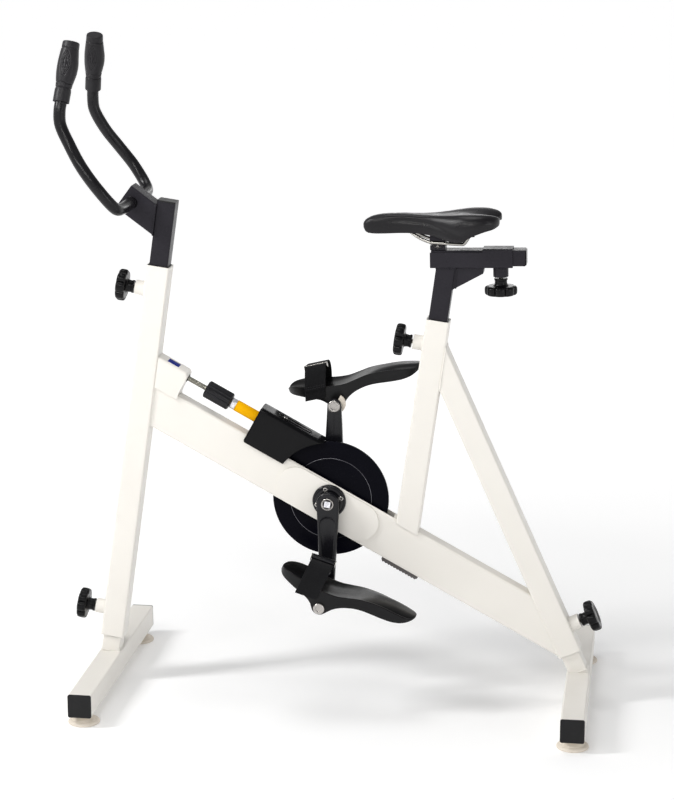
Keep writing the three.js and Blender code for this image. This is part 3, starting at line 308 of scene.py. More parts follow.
def spline(points, steps):
    """Centripetal Catmull-Rom curve through points of any dimension, with as many steps in each span."""
    p = np.array(points, float)
    p = np.vstack([2 * p[0] - p[1], p, 2 * p[-1] - p[-2]])
    out = []
    for i in range(1, len(p) - 2):
        a, b, c, d = p[i - 1:i + 3]
        t = np.cumsum([0, *(max(np.linalg.norm(v), 1e-9) ** 0.5 for v in (b - a, c - b, d - c))])

        def toward(q, r, u, k, reach=1):
            return q + (r - q) * (u - t[k]) / (t[k + reach] - t[k])

        for s in range(steps):
            u = t[1] + (t[2] - t[1]) * s / steps
            ab, bc, cd = toward(a, b, u, 0), toward(b, c, u, 1), toward(c, d, u, 2)
            out.append(toward(toward(ab, bc, u, 0, 2), toward(bc, cd, u, 1, 2), u, 1))
    return np.array([*out, p[-2]])


def along(path, section, closed=False):
    """Rings of a section swept along a path; section(i) gives (u, v) offsets."""
    pts = [Vector(p) for p in path]
    n = len(pts)
    rings, side = [], None
    for i in range(n):
        ahead = pts[(i + 1) % n] if closed or i + 1 < n else pts[i]
        back = pts[i - 1] if closed or i > 0 else pts[i]
        way = (ahead - back).normalized()
        if side is None:
            side = way.orthogonal().normalized()
        side = (side - way * side.dot(way)).normalized()
        up = way.cross(side)
        rings.append([pts[i] + side * u + up * v for u, v in section(i)])
    return rings


def arc(x, y, radius, start, sweep, steps):
    """Points on an arc about (x, y), with angles in degrees."""
    turns = [radians(start + sweep * k / steps) for k in range(steps + 1)]
    return [(x + radius * cos(t), y + radius * sin(t)) for t in turns]


def circle(radius, sides):
    return arc(0, 0, radius, 0, 360, sides)[:-1]


def rounded(u0, u1, v0, v1, r, steps=3):
    """A rectangle with round corners."""
    corners = ((u1 - r, v1 - r), (u0 + r, v1 - r), (u0 + r, v0 + r), (u1 - r, v0 + r))
    return [p for k, (u, v) in enumerate(corners) for p in arc(u, v, r, 90 * k, 90, steps)]


def between(a, b, steps):
    """The points that divide the line from a to b, without its ends."""
    return [tuple(p + (q - p) * k / steps for p, q in zip(a, b)) for k in range(1, steps)]


def blend(one, other, share):
    """The points that stand at a share of the way from one ring to another."""
    return [tuple(p + (q - p) * share for p, q in zip(a, b)) for a, b in zip(one, other)]


def bell(x, width):
    return exp(-(x / width) ** 2)


def unit(x):
    """x held between 0 and 1."""
    return min(1, max(0, x))


def polygon(turn, r, corners=0):
    """Radius of a polygon with blunt corners, or of a circle where it has none."""
    if not corners:
        return r
    part = 2 * pi / corners
    return min(r * cos(part / 2) / cos((turn % part) - part / 2), r * 0.955)


def spun(home, name, material, body, rows, sides, stands_for=None, sharp=50,
         at=0, ends=True, wave=None, twist=0):
    """A piece turned about X from (radius, x) or (radius, x, corners) rows, with x counted from at."""
    rings = []
    for r, x, *corners in rows:
        ring = []
        for k in range(sides):
            t = 2 * pi * k / sides
            q = wave(t, r, at + x) if wave else polygon(t, r, *corners)
            ring.append((at + x, q * cos(t + twist), q * sin(t + twist)))
        rings.append(ring)
    solid(home, [rings], name, material, body, stands_for, sharp, first=ends, last=ends)


# Handlebar: one bent tube, and grips carved with ring lines and nested grooves
BAR_RADIUS, BAR_REACH, BAR_HALF, BAR_RISE, GRIP_LENGTH, GRIP_END = 12.5, 118, 174, 339, 124, 5
BAR_SHARES = [(0, 0.3, 0), (0, 0.62, 0), (-0.04, 0.87, 0.02), (-0.31, 1, 0.15), (-0.58, 0.975, 0.274),
              (-0.81, 0.88, 0.395), (-0.985, 0.835, 0.52), (-1, 0.815, 0.6), (-0.975, 0.775, 0.67)]
GRIP_TOP_SHARES = (-0.85, 0.575, 1)


def bar_point(shares, side):
    return Vector((BAR_REACH * shares[0], side * BAR_HALF * shares[1], BAR_RISE * shares[2]))


def grip_way(side):
    return (bar_point(GRIP_TOP_SHARES, side) - bar_point(BAR_SHARES[-1], side)).normalized()


bar_half = [[bar_point(s, side) for s in BAR_SHARES] for side in (-1, 1)]
bar_ends = [bar_point(GRIP_TOP_SHARES, side) - grip_way(side) * GRIP_END for side in (-1, 1)]
bar_path = spline([bar_ends[0], *reversed(bar_half[0]), Vector(), *bar_half[1], bar_ends[1]], 9)
rings = along(bar_path, lambda i: circle(BAR_RADIUS, 32))
solid(BAR, [rings], "bent_bar", TUBE_BLACK, "handlebar_post", "handlebar")

GRIP_SHARES = [(16.6, 0), (17, 0.015), (17, 0.16), (16.5, 0.19), (16.6, 0.23), (17.6, 0.31),
               (19.3, 0.41), (20.4, 0.52), (20.6, 0.62), (20, 0.72), (19, 0.82), (18.1, 0.9),
               (17.8, 0.945), (17.6, 0.975), (16.4, 0.995), (15.2, 1), (8, 1.002)]
GRIP_PALM, GROOVE_DEEP, GROOVE_WIDE, CARVED_FROM = 2.4, 1.6, 1, 14


def grip_radius(turn, r, share):
    """Turn is 0 at the palm and a right angle at either side."""
    palm = max(0, cos(turn)) ** 2 * bell(share - 0.56, 0.2) * GRIP_PALM
    groove = bell(share * GRIP_LENGTH - 27.5, GROOVE_WIDE)
    groove += bell((share - 0.3 - 0.012 * cos(4 * turn)) * GRIP_LENGTH, GROOVE_WIDE)
    groove += bell((share - 0.885 - 0.008 * cos(6 * turn)) * GRIP_LENGTH, GROOVE_WIDE)
    way = r * (abs(atan2(sin(turn), cos(turn))) - pi / 2)
    for wide, tall in ((3.2, 0.13), (6.6, 0.18), (10, 0.22)):
        lens = wide * (1 - ((share - 0.62) / tall) ** 2)
        if lens > 0:
            groove += bell(abs(way) - lens, GROOVE_WIDE)
    return r + palm - GROOVE_DEEP * min(groove, 1)


def grip(side, name):
    top, way = bar_point(GRIP_TOP_SHARES, side), grip_way(side)
    back = (Vector((1, 0, 0)) - way * way.x).normalized()
    across = way.cross(back)
    rings = []
    for r, share in [(BAR_RADIUS + 0.3, 0), *spline(GRIP_SHARES, 12)]:
        foot = top - way * GRIP_LENGTH * (1 - share)
        ring = []
        for k in range(112):
            turn = 2 * pi * k / 112
            q = grip_radius(turn, r, share) if r > CARVED_FROM else r
            ring.append(foot + back * q * cos(turn) + across * q * sin(turn))
        rings.append(ring)
    solid(BAR, [rings], name + "_carved", RUBBER, "handlebar_post", name, sharp=70, first=False)


for side, word in SIDES:
    grip(side, word + "_grip")

# Clamp knobs: eight rounded lobes, a dished face, a ringed neck and a threaded stud
KNOB_RADIUS, BOSS_LENGTH, KNOB_GAP, NECK_LENGTH, KNOB_THICK = 34, 21, 3, 16, 20
KNOB_LOBES, LOBE_DEEP, STUD_RADIUS, THREAD_PITCH = 8, 5.2, 5, 1.5
CLAMPS = {
    "handlebar": turned(COLUMN, -TUBE_HALF, COLUMN_TOP - CLAMP_DROP, 180),
    "front_foot": turned(COLUMN, -TUBE_HALF, COLUMN_LOW + CLAMP_DROP, 180),
    "seat_post": turned(SEAT, -TUBE_HALF, SEAT_TOP - CLAMP_DROP, 180),
    "rear_foot": turned(STRUT, TUBE_HALF, STRUT_LOW + CLAMP_DROP, 0),
    "saddle_slide": turned(SLIDE, 113, 0, 90),
}


def lobed(turn, r, x):
    share = max(0, (r - 20) / (KNOB_RADIUS - 20))
    notch = (1 - abs(cos(KNOB_LOBES * turn / 2)) ** 0.9) ** 1.5
    return r - LOBE_DEEP * notch * share ** 1.5


def threaded(home, name, body, radius, start, end, pitch, deep, stands_for=None):
    """A steel rod with a single-start thread along X."""
    count = int((end - start) / pitch * 8)
    rows = [(radius, start + (end - start) * i / count) for i in range(count + 1)]

    def groove(turn, r, x):
        return r - deep * (0.5 + 0.5 * cos(2 * pi * x / pitch - turn))

    spun(home, name, STEEL, body, rows, 24, stands_for, 80, wave=groove)


def clamp_knob(name, home):
    body, neck = name + "_knob", BOSS_LENGTH + KNOB_GAP
    back, face = NECK_LENGTH, NECK_LENGTH + KNOB_THICK
    rows = spline([
        (11.5, 0), (13.2, 0), (13.9, 0.8), (13.9, 4.2), (13.2, 4.9), (13, 5.2), (13.2, back - 5),
        (14.5, back - 1.5), (17.5, back), (26, back + 0.2), (30.5, back + 0.8), (33.3, back + 3.2),
        (KNOB_RADIUS, back + 7), (KNOB_RADIUS, face - 7), (33.2, face - 3.2), (30.6, face - 0.9), (27, face),
        (22, face - 0.4), (17, face - 1.9), (12.5, face - 2.6), (11.6, face - 2.2), (10.6, face - 1.8),
        (5, face - 1.7), (0.3, face - 1.7)], 4)
    spun(home, name + "_lobed_knob", PLASTIC, body, rows, 144, body, 60, at=neck, wave=lobed)
    threaded(home, name + "_stud", body, STUD_RADIUS, 2, neck + 2, THREAD_PITCH, 0.55)


for name, home in CLAMPS.items():
    clamp_knob(name, home)

# Floor discs: pale pads with a rounded foot, a dome and a neck
FOOT_LIFT, DISC_RADIUS, DISC_INSET = 23, 33.5, 35


def floor_disc(end, word, x, y):
    profile = spline([
        (0.3, 0), (DISC_RADIUS - 3, 0), (DISC_RADIUS - 0.8, 0.6), (DISC_RADIUS, 2.2), (DISC_RADIUS - 0.3, 4),
        (31, 6.6), (27, 8.4), (25.6, 8.7), (25.2, 9.6), (21.5, 12.4), (17, 15.2), (14.2, 17.4), (13, 19.2),
        (13, FOOT_LIFT - 0.4)], 4)
    name = f"{end}_{word}_floor_disc"
    spun(turned(ROW, x + SHIFT, 0, -90, y), name + "_domed", CREAM, end + "_foot", profile, 72, name, 60)


for end, base_x in (("front", -BASE_HALF), ("rear", BASE_HALF)):
    for side, word in SIDES:
        floor_disc(end, word, base_x, side * (FOOT_HALF - DISC_INSET))

# Pedals: a tray with a raised rim, a ridge that falls to the heel, and the keel that holds the spindle
PEDAL_MIDDLE, PEDAL_ANGLES = 130, {"left": 17.7, "right": -13.5}
PEDAL_X = (-103, -100.5, -95.5, -86, -70, -50, -25, 0, 25, 50, 75, 100, 125, 150, 170, 184, 192, 196, 197)
PEDAL_HALF = (9, 17, 25.5, 35, 44, 48.5, 50, 50, 49.5, 47, 43.5, 41, 39.5, 38.5, 36, 31, 23, 13, 7)
PEDAL_RIM = (45, 47.5, 50, 51, 50, 47, 42, 38, 37, 41, 45.5, 46.5, 45, 41.5, 38.5, 37, 37.5, 38.5, 39)
PEDAL_FLOOR = (44, 45, 45, 44, 41, 38, 35, 32.5, 33.5, 39, 45, 49, 50, 48.8, 46, 43.5, 42, 41, 40.5)
SOLE = ((-103, 41), (-100, 36.5), (-94.5, 33), (-75, 26.5), (-56, 20), (-40, 14), (-32, 10.5), (-25, 5.5),
        (-20, 0.5), (-17, -4.5), (-14, -9), (-9, -13.4), (-3, -15.6), (3, -15.6), (9, -13.2), (14, -8.8),
        (19, -3.4), (26, 3.5), (34, 9), (45, 14.2), (57, 17.8), (72, 20.5), (90, 21), (115, 19.2),
        (135, 18), (152, 18.2), (170, 21.5), (183, 27.5), (191, 33), (196, 37.2), (197, 38.6))


def pedal_home(word):
    side = -1 if word == "left" else 1
    return turned(CRANK, 0, side * CRANK_LENGTH, PEDAL_ANGLES[word], side * PEDAL_MIDDLE)


def pedal_tray(word):
    tables = spline(list(zip(PEDAL_X, PEDAL_HALF, PEDAL_RIM, PEDAL_FLOOR)), 9)
    sole = spline(SOLE, 8)
    near_keel = np.arange(-28, 30, 0.9)
    stations = np.unique(np.round(np.concatenate([tables[:, 0], near_keel]), 2))
    rings = []
    for x in stations:
        half, rim, low_floor = (np.interp(x, tables[:, 0], tables[:, k]) for k in (1, 2, 3))
        low = np.interp(x, sole[:, 0], sole[:, 1])
        tall = rim - low
        edge = min(1.6, tall * 0.2)
        turn_in = min(5, tall * 0.3)
        right = [
            (0, low_floor), (0.5 * half, low_floor + (rim - low_floor) * 0.1),
            (0.8 * half, low_floor + (rim - low_floor) * 0.62), (0.92 * half, rim - 0.1),
            (0.965 * half, rim), (0.992 * half, rim - edge * 0.4), (half, rim - edge * 1.6),
            (0.985 * half, rim - tall * 0.45), (0.965 * half, low + turn_in),
            (0.94 * half, low + turn_in * 0.35), (0.86 * half, low + turn_in * 0.04),
            (0.7 * half, low), (0, low)]
        fine = spline(right, 4)
        left = [(-y, z) for y, z in fine[-2:0:-1]]
        rings.append([(x, y, z) for y, z in [*fine, *left]])
    solid(pedal_home(word), [rings], word + "_pedal_tray", PEDAL, word + "_pedal", word + "_pedal", sharp=60)


STRAP_HALF, STRAP_THICK, STRAP_LOW = {"left": 24, "right": 22.5}, 2.6, 17
STRAP_FOOT, STRAP_LEAN = {"left": -34, "right": -42}, {"left": 0.125, "right": 0.235}
STRAP_ARCH = {
    "left": [(-51.6, 17), (-52.5, 40), (-51, 60), (-44, 77), (-32, 87), (-18, 90), (0, 87.5), (18, 81),
             (34, 71), (45, 57), (50.5, 40), (51.6, 17)],
    "right": [(-51.6, 17), (-52.6, 40), (-52.2, 60), (-50, 76), (-44, 86.5), (-34, 90), (-16, 89), (6, 85),
              (26, 77), (41, 63), (50, 42), (51.6, 17)],
}
STRAP_SECTION = ((-1, 0.15), (-0.985, 0.5), (-0.5, 0.54), (0, 0.55), (0.5, 0.54), (0.985, 0.5), (1, 0.15),
                 (1, -0.15), (0.985, -0.5), (0, -0.5), (-0.985, -0.5), (-1, -0.15))
ROLLER_AT, ROLLER = {"left": (-21, 95.5), "right": (-43, 88.5)}, {"left": 5.6, "right": 4.2}


def strap_x(word, z):
    """The strap leans towards the heel as it rises."""
    return STRAP_FOOT[word] + STRAP_LEAN[word] * (z - STRAP_LOW)


def band(word, path, name, stands_for=None, wider=0, push=0):
    """Webbing of flat section swept along a path of (y, z)."""
    half = STRAP_HALF[word] + wider
    rings, run, runs = [], 0, []
    for i, (y, z) in enumerate(path):
        ahead = path[min(i + 1, len(path) - 1)]
        back = path[max(i - 1, 0)]
        way = Vector((0, ahead[0] - back[0], ahead[1] - back[1])).normalized()
        out = way.cross(Vector((1, 0, 0)))
        run += hypot(y - back[0], z - back[1])
        middle = Vector((strap_x(word, z), y, z)) + out * push
        rings.append([middle + Vector((half * u, 0, 0)) + out * STRAP_THICK * v for u, v in STRAP_SECTION])
        runs += [run * MM] * len(STRAP_SECTION)
    o = solid(pedal_home(word), [rings], name, WEBBING, word + "_pedal", stands_for, sharp=50)
    length = o.data.attributes.new("run", "FLOAT", "POINT")
    length.data.foreach_set("value", runs)


def stitches(word, y, z):
    """Two rows of thread across the flap's end."""
    threads = []
    for row in (0, 4.5):
        for k in range(9):
            x = strap_x(word, z + row) - STRAP_HALF[word] + 3.5 + 4.75 * k
            threads.append([[(x + s, y + 0.35 * a, z + row + 0.5 * b) for a, b in circle(w, 8)]
                            for s, w in ((-1.6, 0.3), (-1.1, 0.9), (1.1, 0.9), (1.6, 0.3))])
    solid(pedal_home(word), threads, word + "_strap_stitches", RUBBER, word + "_pedal", sharp=80)


def roller(word):
    """A roller buckle across the strap: a dark roller on a chrome pin, with a silver cheek at each end."""
    y, z = ROLLER_AT[word]
    r, reach = ROLLER[word], STRAP_HALF[word] + 1.5
    body = word + "_pedal"
    axis = turned(pedal_home(word), strap_x(word, z), z, 0, y)
    half = [(0.2, reach), (r - 1, reach), (r - 0.2, reach - 0.8), (r, reach - 2)]
    profile = spline([*[(q, -x) for q, x in half], *reversed(half)], 3)
    spun(axis, word + "_buckle_roller", CAST, body, profile, 40, sharp=60)
    pill = [(q - 0.5, w * 1.25 - 2.2) for q, w in circle(r + 1, 28)]
    for end, place in ((-1, "front"), (1, "rear")):
        rings = [[(s, q * k, w * k) for q, w in pill] for s, k in
                 ((-0.8, 0.88), (-0.6, 0.97), (-0.3, 1), (0.3, 1), (0.6, 0.97), (0.8, 0.88))]
        cheek = turned(axis, end * (reach + 0.9), 0)
        solid(cheek, [rings], f"{word}_buckle_cheek_{place}", CHROME, body, sharp=60)
    rings = [[(s, q - 3.2, w + 3) for q, w in circle(1.2, 16)] for s in (-reach - 0.6, reach + 0.6)]
    solid(axis, [rings], word + "_buckle_bar", CHROME, body, sharp=50)


def strap(word):
    band(word, spline(STRAP_ARCH[word], 8), word + "_strap_band", word + "_pedal_strap")
    roller(word)
    if word == "right":
        flap = spline([(-52.6, 38), *STRAP_ARCH["right"][2:5], (-40, 88.6)], 8)
        band(word, flap, "right_strap_flap", wider=0.8, push=-STRAP_THICK * 1.06)
        stitches(word, -52.5 - STRAP_THICK * 1.6, 42)


for side, word in SIDES:
    pedal_tray(word)
    strap(word)

# Saddle: stations from nose to tail as shares of length, half width, crown, wing, hem and underside
SADDLE_NOSE, SADDLE_TAIL, SADDLE_HALF, SADDLE_HIGH = 157, 129, 74, 64
SADDLE_SHARES = [(0, 0.03, 0.55, 0.55, 0.47, 0.5), (0.006, 0.11, 0.61, 0.59, 0.4, 0.48),
                 (0.03, 0.19, 0.71, 0.67, 0.28, 0.5), (0.08, 0.25, 0.81, 0.77, 0.25, 0.55),
                 (0.16, 0.28, 0.875, 0.845, 0.26, 0.6), (0.28, 0.3, 0.9, 0.88, 0.29, 0.61),
                 (0.4, 0.36, 0.89, 0.88, 0.3, 0.6), (0.5, 0.48, 0.89, 0.89, 0.26, 0.58),
                 (0.58, 0.64, 0.9, 0.92, 0.2, 0.55), (0.66, 0.82, 0.92, 0.96, 0.11, 0.51),
                 (0.73, 0.94, 0.94, 1, 0.12, 0.48), (0.81, 1, 0.95, 1.02, 0.33, 0.48),
                 (0.89, 0.95, 0.93, 1.02, 0.47, 0.54), (0.955, 0.82, 0.87, 0.98, 0.55, 0.62),
                 (0.99, 0.64, 0.8, 0.92, 0.63, 0.68), (1, 0.5, 0.77, 0.87, 0.68, 0.7),
                 (1.003, 0.3, 0.75, 0.8, 0.71, 0.72)]
SECTION_SHARES = [(0, 0, 1), (0.3, 0.12, 0.88), (0.58, 0.75, 0.25), (0.8, 0.96, 0), (0.93, 0.8, 0),
                  (0.995, 0.5, 0), (0.985, 0.2, 0), (0.965, 0.05, 0), (0.93, 0, 0)]
CREASE = ((0, 0.72), (0.31, 0.7), (0.48, 0.62), (0.58, 0.47), (0.675, 0.34), (0.82, 0.16), (1, 0.05))
CREASE_DEEP, CREASE_WIDE, CHANNEL_DEEP, NOTCH_DEEP = 2.2, 0.13, 12, 26


def saddle_ring(station):
    share, half, crown, wing, hem, under = station
    x = (SADDLE_NOSE + SADDLE_TAIL) * share - SADDLE_NOSE
    wide, inner = SADDLE_HALF * half, SADDLE_HIGH * under
    right = []
    for y, up, mid in SECTION_SHARES:
        level = crown * mid + wing * (1 - mid) if mid > 0 else hem + (wing - hem) * up
        right.append((wide * y, SADDLE_HIGH * level))
    right += [(wide * 0.86, SADDLE_HIGH * (hem * 0.8 + under * 0.2)),
              (wide * 0.74, (SADDLE_HIGH * hem + inner) / 2), (wide * 0.5, inner), (0, inner)]
    line = np.interp(share, *zip(*CREASE))
    fade = unit((share - 0.12) / 0.25) * unit((0.98 - share) / 0.2)
    fine = []
    for i, (y, z) in enumerate(spline(right, 6)):
        if i < len(SECTION_SHARES) * 6 and wing > hem:
            u = (z / SADDLE_HIGH - hem) / (wing - hem)
            y -= CREASE_DEEP * fade * bell(u - line, CREASE_WIDE) * min(1, y / (wide * 0.8 + 0.01))
        fine.append((y, z))
    late, back = unit((share - 0.7) / 0.3), unit((share - 0.86) / 0.14)
    ring = []
    for y, z in [*fine, *[(-y, z) for y, z in fine[-2:0:-1]]]:
        sunk = bell(y, 20) * late ** 1.5 * CHANNEL_DEEP * unit((z / SADDLE_HIGH - hem) / 0.2)
        ring.append((x - NOTCH_DEEP * bell(y, 17) * back ** 2, y, z - sunk))
    return ring


rings = [saddle_ring(s) for s in spline(SADDLE_SHARES, 8)]
o = solid(SADDLE, [rings], "saddle_cover", VINYL, "saddle", "saddle_cushion", sharp=70)

RAIL_RADIUS, RAIL_HALF = 3.5, 22
RAIL_SHARES = [(0.545, 1.2, 0.37), (0.5, 1.1, 0.2), (0.42, 1.02, -0.02), (0.36, 1, -0.03), (0.02, 1, 0),
               (-0.14, 1, 0.03), (-0.32, 0.8, 0.17), (-0.46, 0.6, 0.34), (-0.56, 0.4, 0.45), (-0.6, 0, 0.49)]
near = [(SADDLE_TAIL * x, -RAIL_HALF * y, SADDLE_HIGH * z) for x, y, z in RAIL_SHARES]
far = [(x, -y, z) for x, y, z in reversed(near[:-1])]
rings = along(spline([*near, *far], 8), lambda i: circle(RAIL_RADIUS, 20))
solid(SADDLE, [rings], "rail_wire", CHROME, "saddle", "saddle_rails", sharp=60)

# Drive: cast cranks with a sunk panel, flanged bearings, a grooved disc and bolt heads with sockets
CRANK_BOSS, CRANK_TIP, CRANK_INSET, CRANK_OFFSET, CRANK_THICK = 24.5, 15, 37, 11, 16
PANEL_START, PANEL_END, PANEL_RIM, PANEL_DEEP = 29, 152, 5.6, 2.4
AXLE_RADIUS, SPINDLE_RADIUS, BOLT_RADIUS, BOLT_HIGH = 10, 7, 13.2, 4
BEARING_RADIUS, BEARING_FACE, BEARING_FLANGE, HUB_RADIUS, HUB_FACE, SCREW_RING = 36, 24.3, 7, 20, 12.2, 27.3


def arm_outline(start, end, big, small):
    """Points (x, way) round two circles and their tangents; way runs from the axle to the pedal."""
    lean = degrees(asin((big - small) / (end - start)))
    low = arc(0, start, big, 180 - lean, 180 + 2 * lean, 18)
    high = arc(0, end, small, lean, 180 - 2 * lean, 18)
    return [*low, *between(low[-1], high[0], 30), *high, *between(high[-1], low[0], 30)]


def crank_step(way):
    """How far out the arm's inner face stands, from the axle's end to the pedal's."""
    u = unit((173 - way) / (173 - 24))
    return CRANK_INSET + CRANK_OFFSET * (1 - u * u * (3 - 2 * u))


def crank(side, word):
    outline = arm_outline(0, CRANK_LENGTH, CRANK_BOSS, CRANK_TIP)
    middle = arm_outline(0, CRANK_LENGTH, 0.4, 0.2)
    taper = (CRANK_BOSS - CRANK_TIP) / CRANK_LENGTH
    big, small = (CRANK_BOSS - taper * way - PANEL_RIM for way in (PANEL_START, PANEL_END))
    near, far = PANEL_START + big, PANEL_END - small
    panel = arm_outline(near, far, big, small)
    core = [(0, min(max(way, near), far)) for x, way in panel]
    border = blend(outline, panel, 0.8)

    def ring(points, centres, inset, level):
        """Points drawn in towards their centres by an inset, at a level above the inner face."""
        out = []
        for (x, way), (cx, cway) in zip(points, centres):
            k = 1 - inset / max(hypot(x - cx, way - cway), 0.5)
            x, way = cx + (x - cx) * k, cway + (way - cway) * k
            out.append((x, side * (crank_step(way) + level), side * way))
        return out

    top, deep = CRANK_THICK, PANEL_DEEP
    edge = ((6, 0), (2.4, 0), (1.1, 0.35), (0.3, 1.2), (0, 2.6), (0, top / 2), (0, top - 4.6),
            (0.4, top - 2.7), (1.2, top - 1.3), (2.5, top - 0.4), (3.7, top - 0.05), (4.6, top))
    well = ((-0.9, 0), (-0.3, 0.15), (0.2, deep * 0.5), (0.9, deep * 0.9), (1.8, deep), (5, deep), (9, deep))
    rings = [ring(middle, middle, 0, 0), *[ring(outline, middle, *step) for step in edge],
             ring(border, middle, 0, top), *[ring(panel, core, inset, top - down) for inset, down in well]]
    solid(CRANK, [rings], word + "_crank_cast", CAST, "crankset", word + "_crank", sharp=75, first=False)


def bolt_head(home, name, body, radius, face, high):
    """A domed round head with a six-sided socket."""
    rows = [(radius - 0.5, 0), (radius, 0.5), (radius, high * 0.45), (radius - 0.5, high * 0.78),
            (radius - 1.6, high), (radius * 0.62, high), (radius * 0.58, high - 0.3, 6),
            (radius * 0.55, high - 2.6, 6), (radius * 0.3, high - 3, 6), (0.2, high - 3.1)]
    spun(home, name, SILVER, body, rows, 72, sharp=35, at=face, twist=0.3)


def crank_bolt(side, word):
    """A cupped washer with the axle's square end in it."""
    home = sideways(CRANK, side)
    face, wide = CRANK_INSET + CRANK_THICK + 0.3, BOLT_RADIUS
    cup = [(9.5, 0), (wide, 0), (wide + 0.2, 1), (wide, 3), (wide - 0.9, 3.7), (wide - 2, 3.5),
           (wide - 2.7, 1.6), (9.2, 1.1), (9, 0.6)]
    spun(home, word + "_crank_washer", SILVER, "crankset", cup, 72, at=face, ends=False)
    end = [(9.6, -4, 4), (9.6, 2.6, 4), (9, 3.4, 4), (8.4, 3.6, 4), (4.2, 3.6), (3.6, 3.2), (3.4, 1.6),
           (0.2, 1.4)]
    spun(home, word + "_axle_end", PALE_STEEL, "crankset", end, 72, sharp=35, at=face, twist=0.62)


def axle():
    reach = CRANK_INSET + CRANK_THICK
    half = [(0.3, reach), (AXLE_RADIUS - 1, reach), (AXLE_RADIUS - 0.3, reach - 1)]
    rows = [*[(r, -x) for r, x in half], *reversed(half)]
    spun(sideways(CRANK, 1), "axle_shaft", STEEL, "crankset", rows, 40, "crank_axle", 40)


def disc():
    half = [(32, 9), (33, 8.6), (34, 6), (36, 5.15), (40, 5), (60, 5), (85.8, 5), (86.6, 4.9), (87.1, 4.2),
            (88.9, 4.2), (89.4, 4.9), (90.2, 5), (110, 5), (122.6, 5), (123.6, 4.8), (124.5, 4.1), (125, 3.2)]
    rows = [(10.3, 9), *half, (125, 0), *[(r, -x) for r, x in reversed(half)], (10.3, -9), (10.3, 9)]
    spun(sideways(CRANK, 1), "disc_plate", DISC, "crankset", rows, 160, "brake_disc", ends=False)
    line = [(87.3, 4.15), (87.5, 4.5), (88.4, 4.5), (88.6, 4.15), (87.3, 4.15)]
    for side, word in SIDES:
        home = sideways(CRANK, side)
        spun(home, f"disc_line_{word}", LINE_STEEL, "crankset", line, 160, sharp=70, ends=False)


def bearing(side, word):
    home = sideways(BEAM, side)
    bore, wide, top = AXLE_RADIUS + 0.4, BEARING_RADIUS, BEARING_FLANGE
    hub = HUB_FACE - BEARING_FACE
    rows = [(bore, hub), (HUB_RADIUS, hub), (HUB_RADIUS, 0), (wide - 0.5, 0), (wide, 0.5), (wide, top - 3.2),
            (wide - 0.7, top - 1.6), (wide - 2.2, top - 0.5), (wide - 4, top), (wide - 4.6, top - 0.3),
            (wide - 5.2, top - 0.5), (wide - 6, top - 0.1), (24, top), (21.5, top), (20.8, top - 0.6),
            (20.2, top - 0.9), (19.6, top - 0.6), (19, top), (AXLE_RADIUS + 2, top), (bore, top - 1),
            (bore, hub)]
    spun(home, word + "_bearing_flange", CAST, "frame", rows, 120, word + "_bearing", 45, BEARING_FACE, False)
    rows = [(4.4, -0.6), (4.6, -0.2), (4.6, 0.25), (4.2, 0.6), (2.9, 0.7), (2.7, 0.5, 6), (2.6, -0.5, 6),
            (0.2, -0.6)]
    for k, (y, z) in enumerate(arc(0, 0, SCREW_RING, 45, 270, 3)):
        spun(turned(home, 0, z, 0, y), f"{word}_bearing_screw_{k}", SILVER, "frame", rows, 48, sharp=35,
             at=BEARING_FACE + top, twist=0.2 + k)


def spindle(side, word):
    inner, start = CRANK_INSET + CRANK_OFFSET - 0.3, CRANK_INSET + CRANK_OFFSET + CRANK_THICK
    out, wide, thin = PEDAL_MIDDLE + 50.3, BOLT_RADIUS, SPINDLE_RADIUS
    rows = [(thin, -14), (wide - 0.4, 0), (wide, 0.5), (wide, 2.4), (wide - 0.8, 3.4), (wide - 2.2, 4),
            (8.4, 4), (8, 3.6, 6), (7.6, 1.4, 6), (4, 1.1), (0.2, 1)]
    nut_home = sideways(CRANK, -side, side * CRANK_LENGTH)
    spun(nut_home, word + "_spindle_nut", SILVER, "crankset", rows, 72, sharp=35, at=-inner, twist=0.4)
    rows = [(thin, inner + 1 - start), (thin, 0), (11.6, 0.2), (12, 0.6), (12, 4.4), (11.4, 5), (8.4, 5.4),
            (8.2, 8), (thin, 8.6), (thin, out - start)]
    home = sideways(CRANK, side, side * CRANK_LENGTH)
    spun(home, word + "_spindle_shaft", STEEL, "crankset", rows, 48, word + "_pedal_spindle", 40, start)
    bolt_head(home, word + "_spindle_bolt", "crankset", 12.2, out, BOLT_HIGH)


axle()
disc()
for side, word in SIDES:
    crank(side, word)
    crank_bolt(side, word)
    bearing(side, word)
    spindle(side, word)

# Tension gear: threaded rod, fluted knob, collar, sleeve and the moulded cover
ROD_RADIUS, ROD_START, ROD_STOP, ROD_PITCH = 5.7, -422, -234, 2
TURN_KNOB_START, TURN_KNOB_LENGTH, TURN_KNOB_RADIUS, TURN_KNOB_FLUTES = -347, 61, 20, 10
COLLAR_START, COLLAR_THICK, COLLAR_RADIUS = -285.7, 12, 12
SLEEVE_START, SLEEVE_STOP, SLEEVE_RADIUS = -273.4, -193, 12.5


def fluted(turn, r, x):
    """Ten broad flutes crossed by fine rings, both fading out at the chamfers."""
    flat = max(0, 1 - abs((x - TURN_KNOB_START) / TURN_KNOB_LENGTH - 0.5) * 2)
    fade = min(1, flat * 9)
    flute = abs(sin(TURN_KNOB_FLUTES * turn / 2)) ** 0.7
    ring = 0.5 + 0.5 * cos(2 * pi * x / 2.4)
    return r - fade * (1.5 * (1 - flute) + 0.28 * ring)


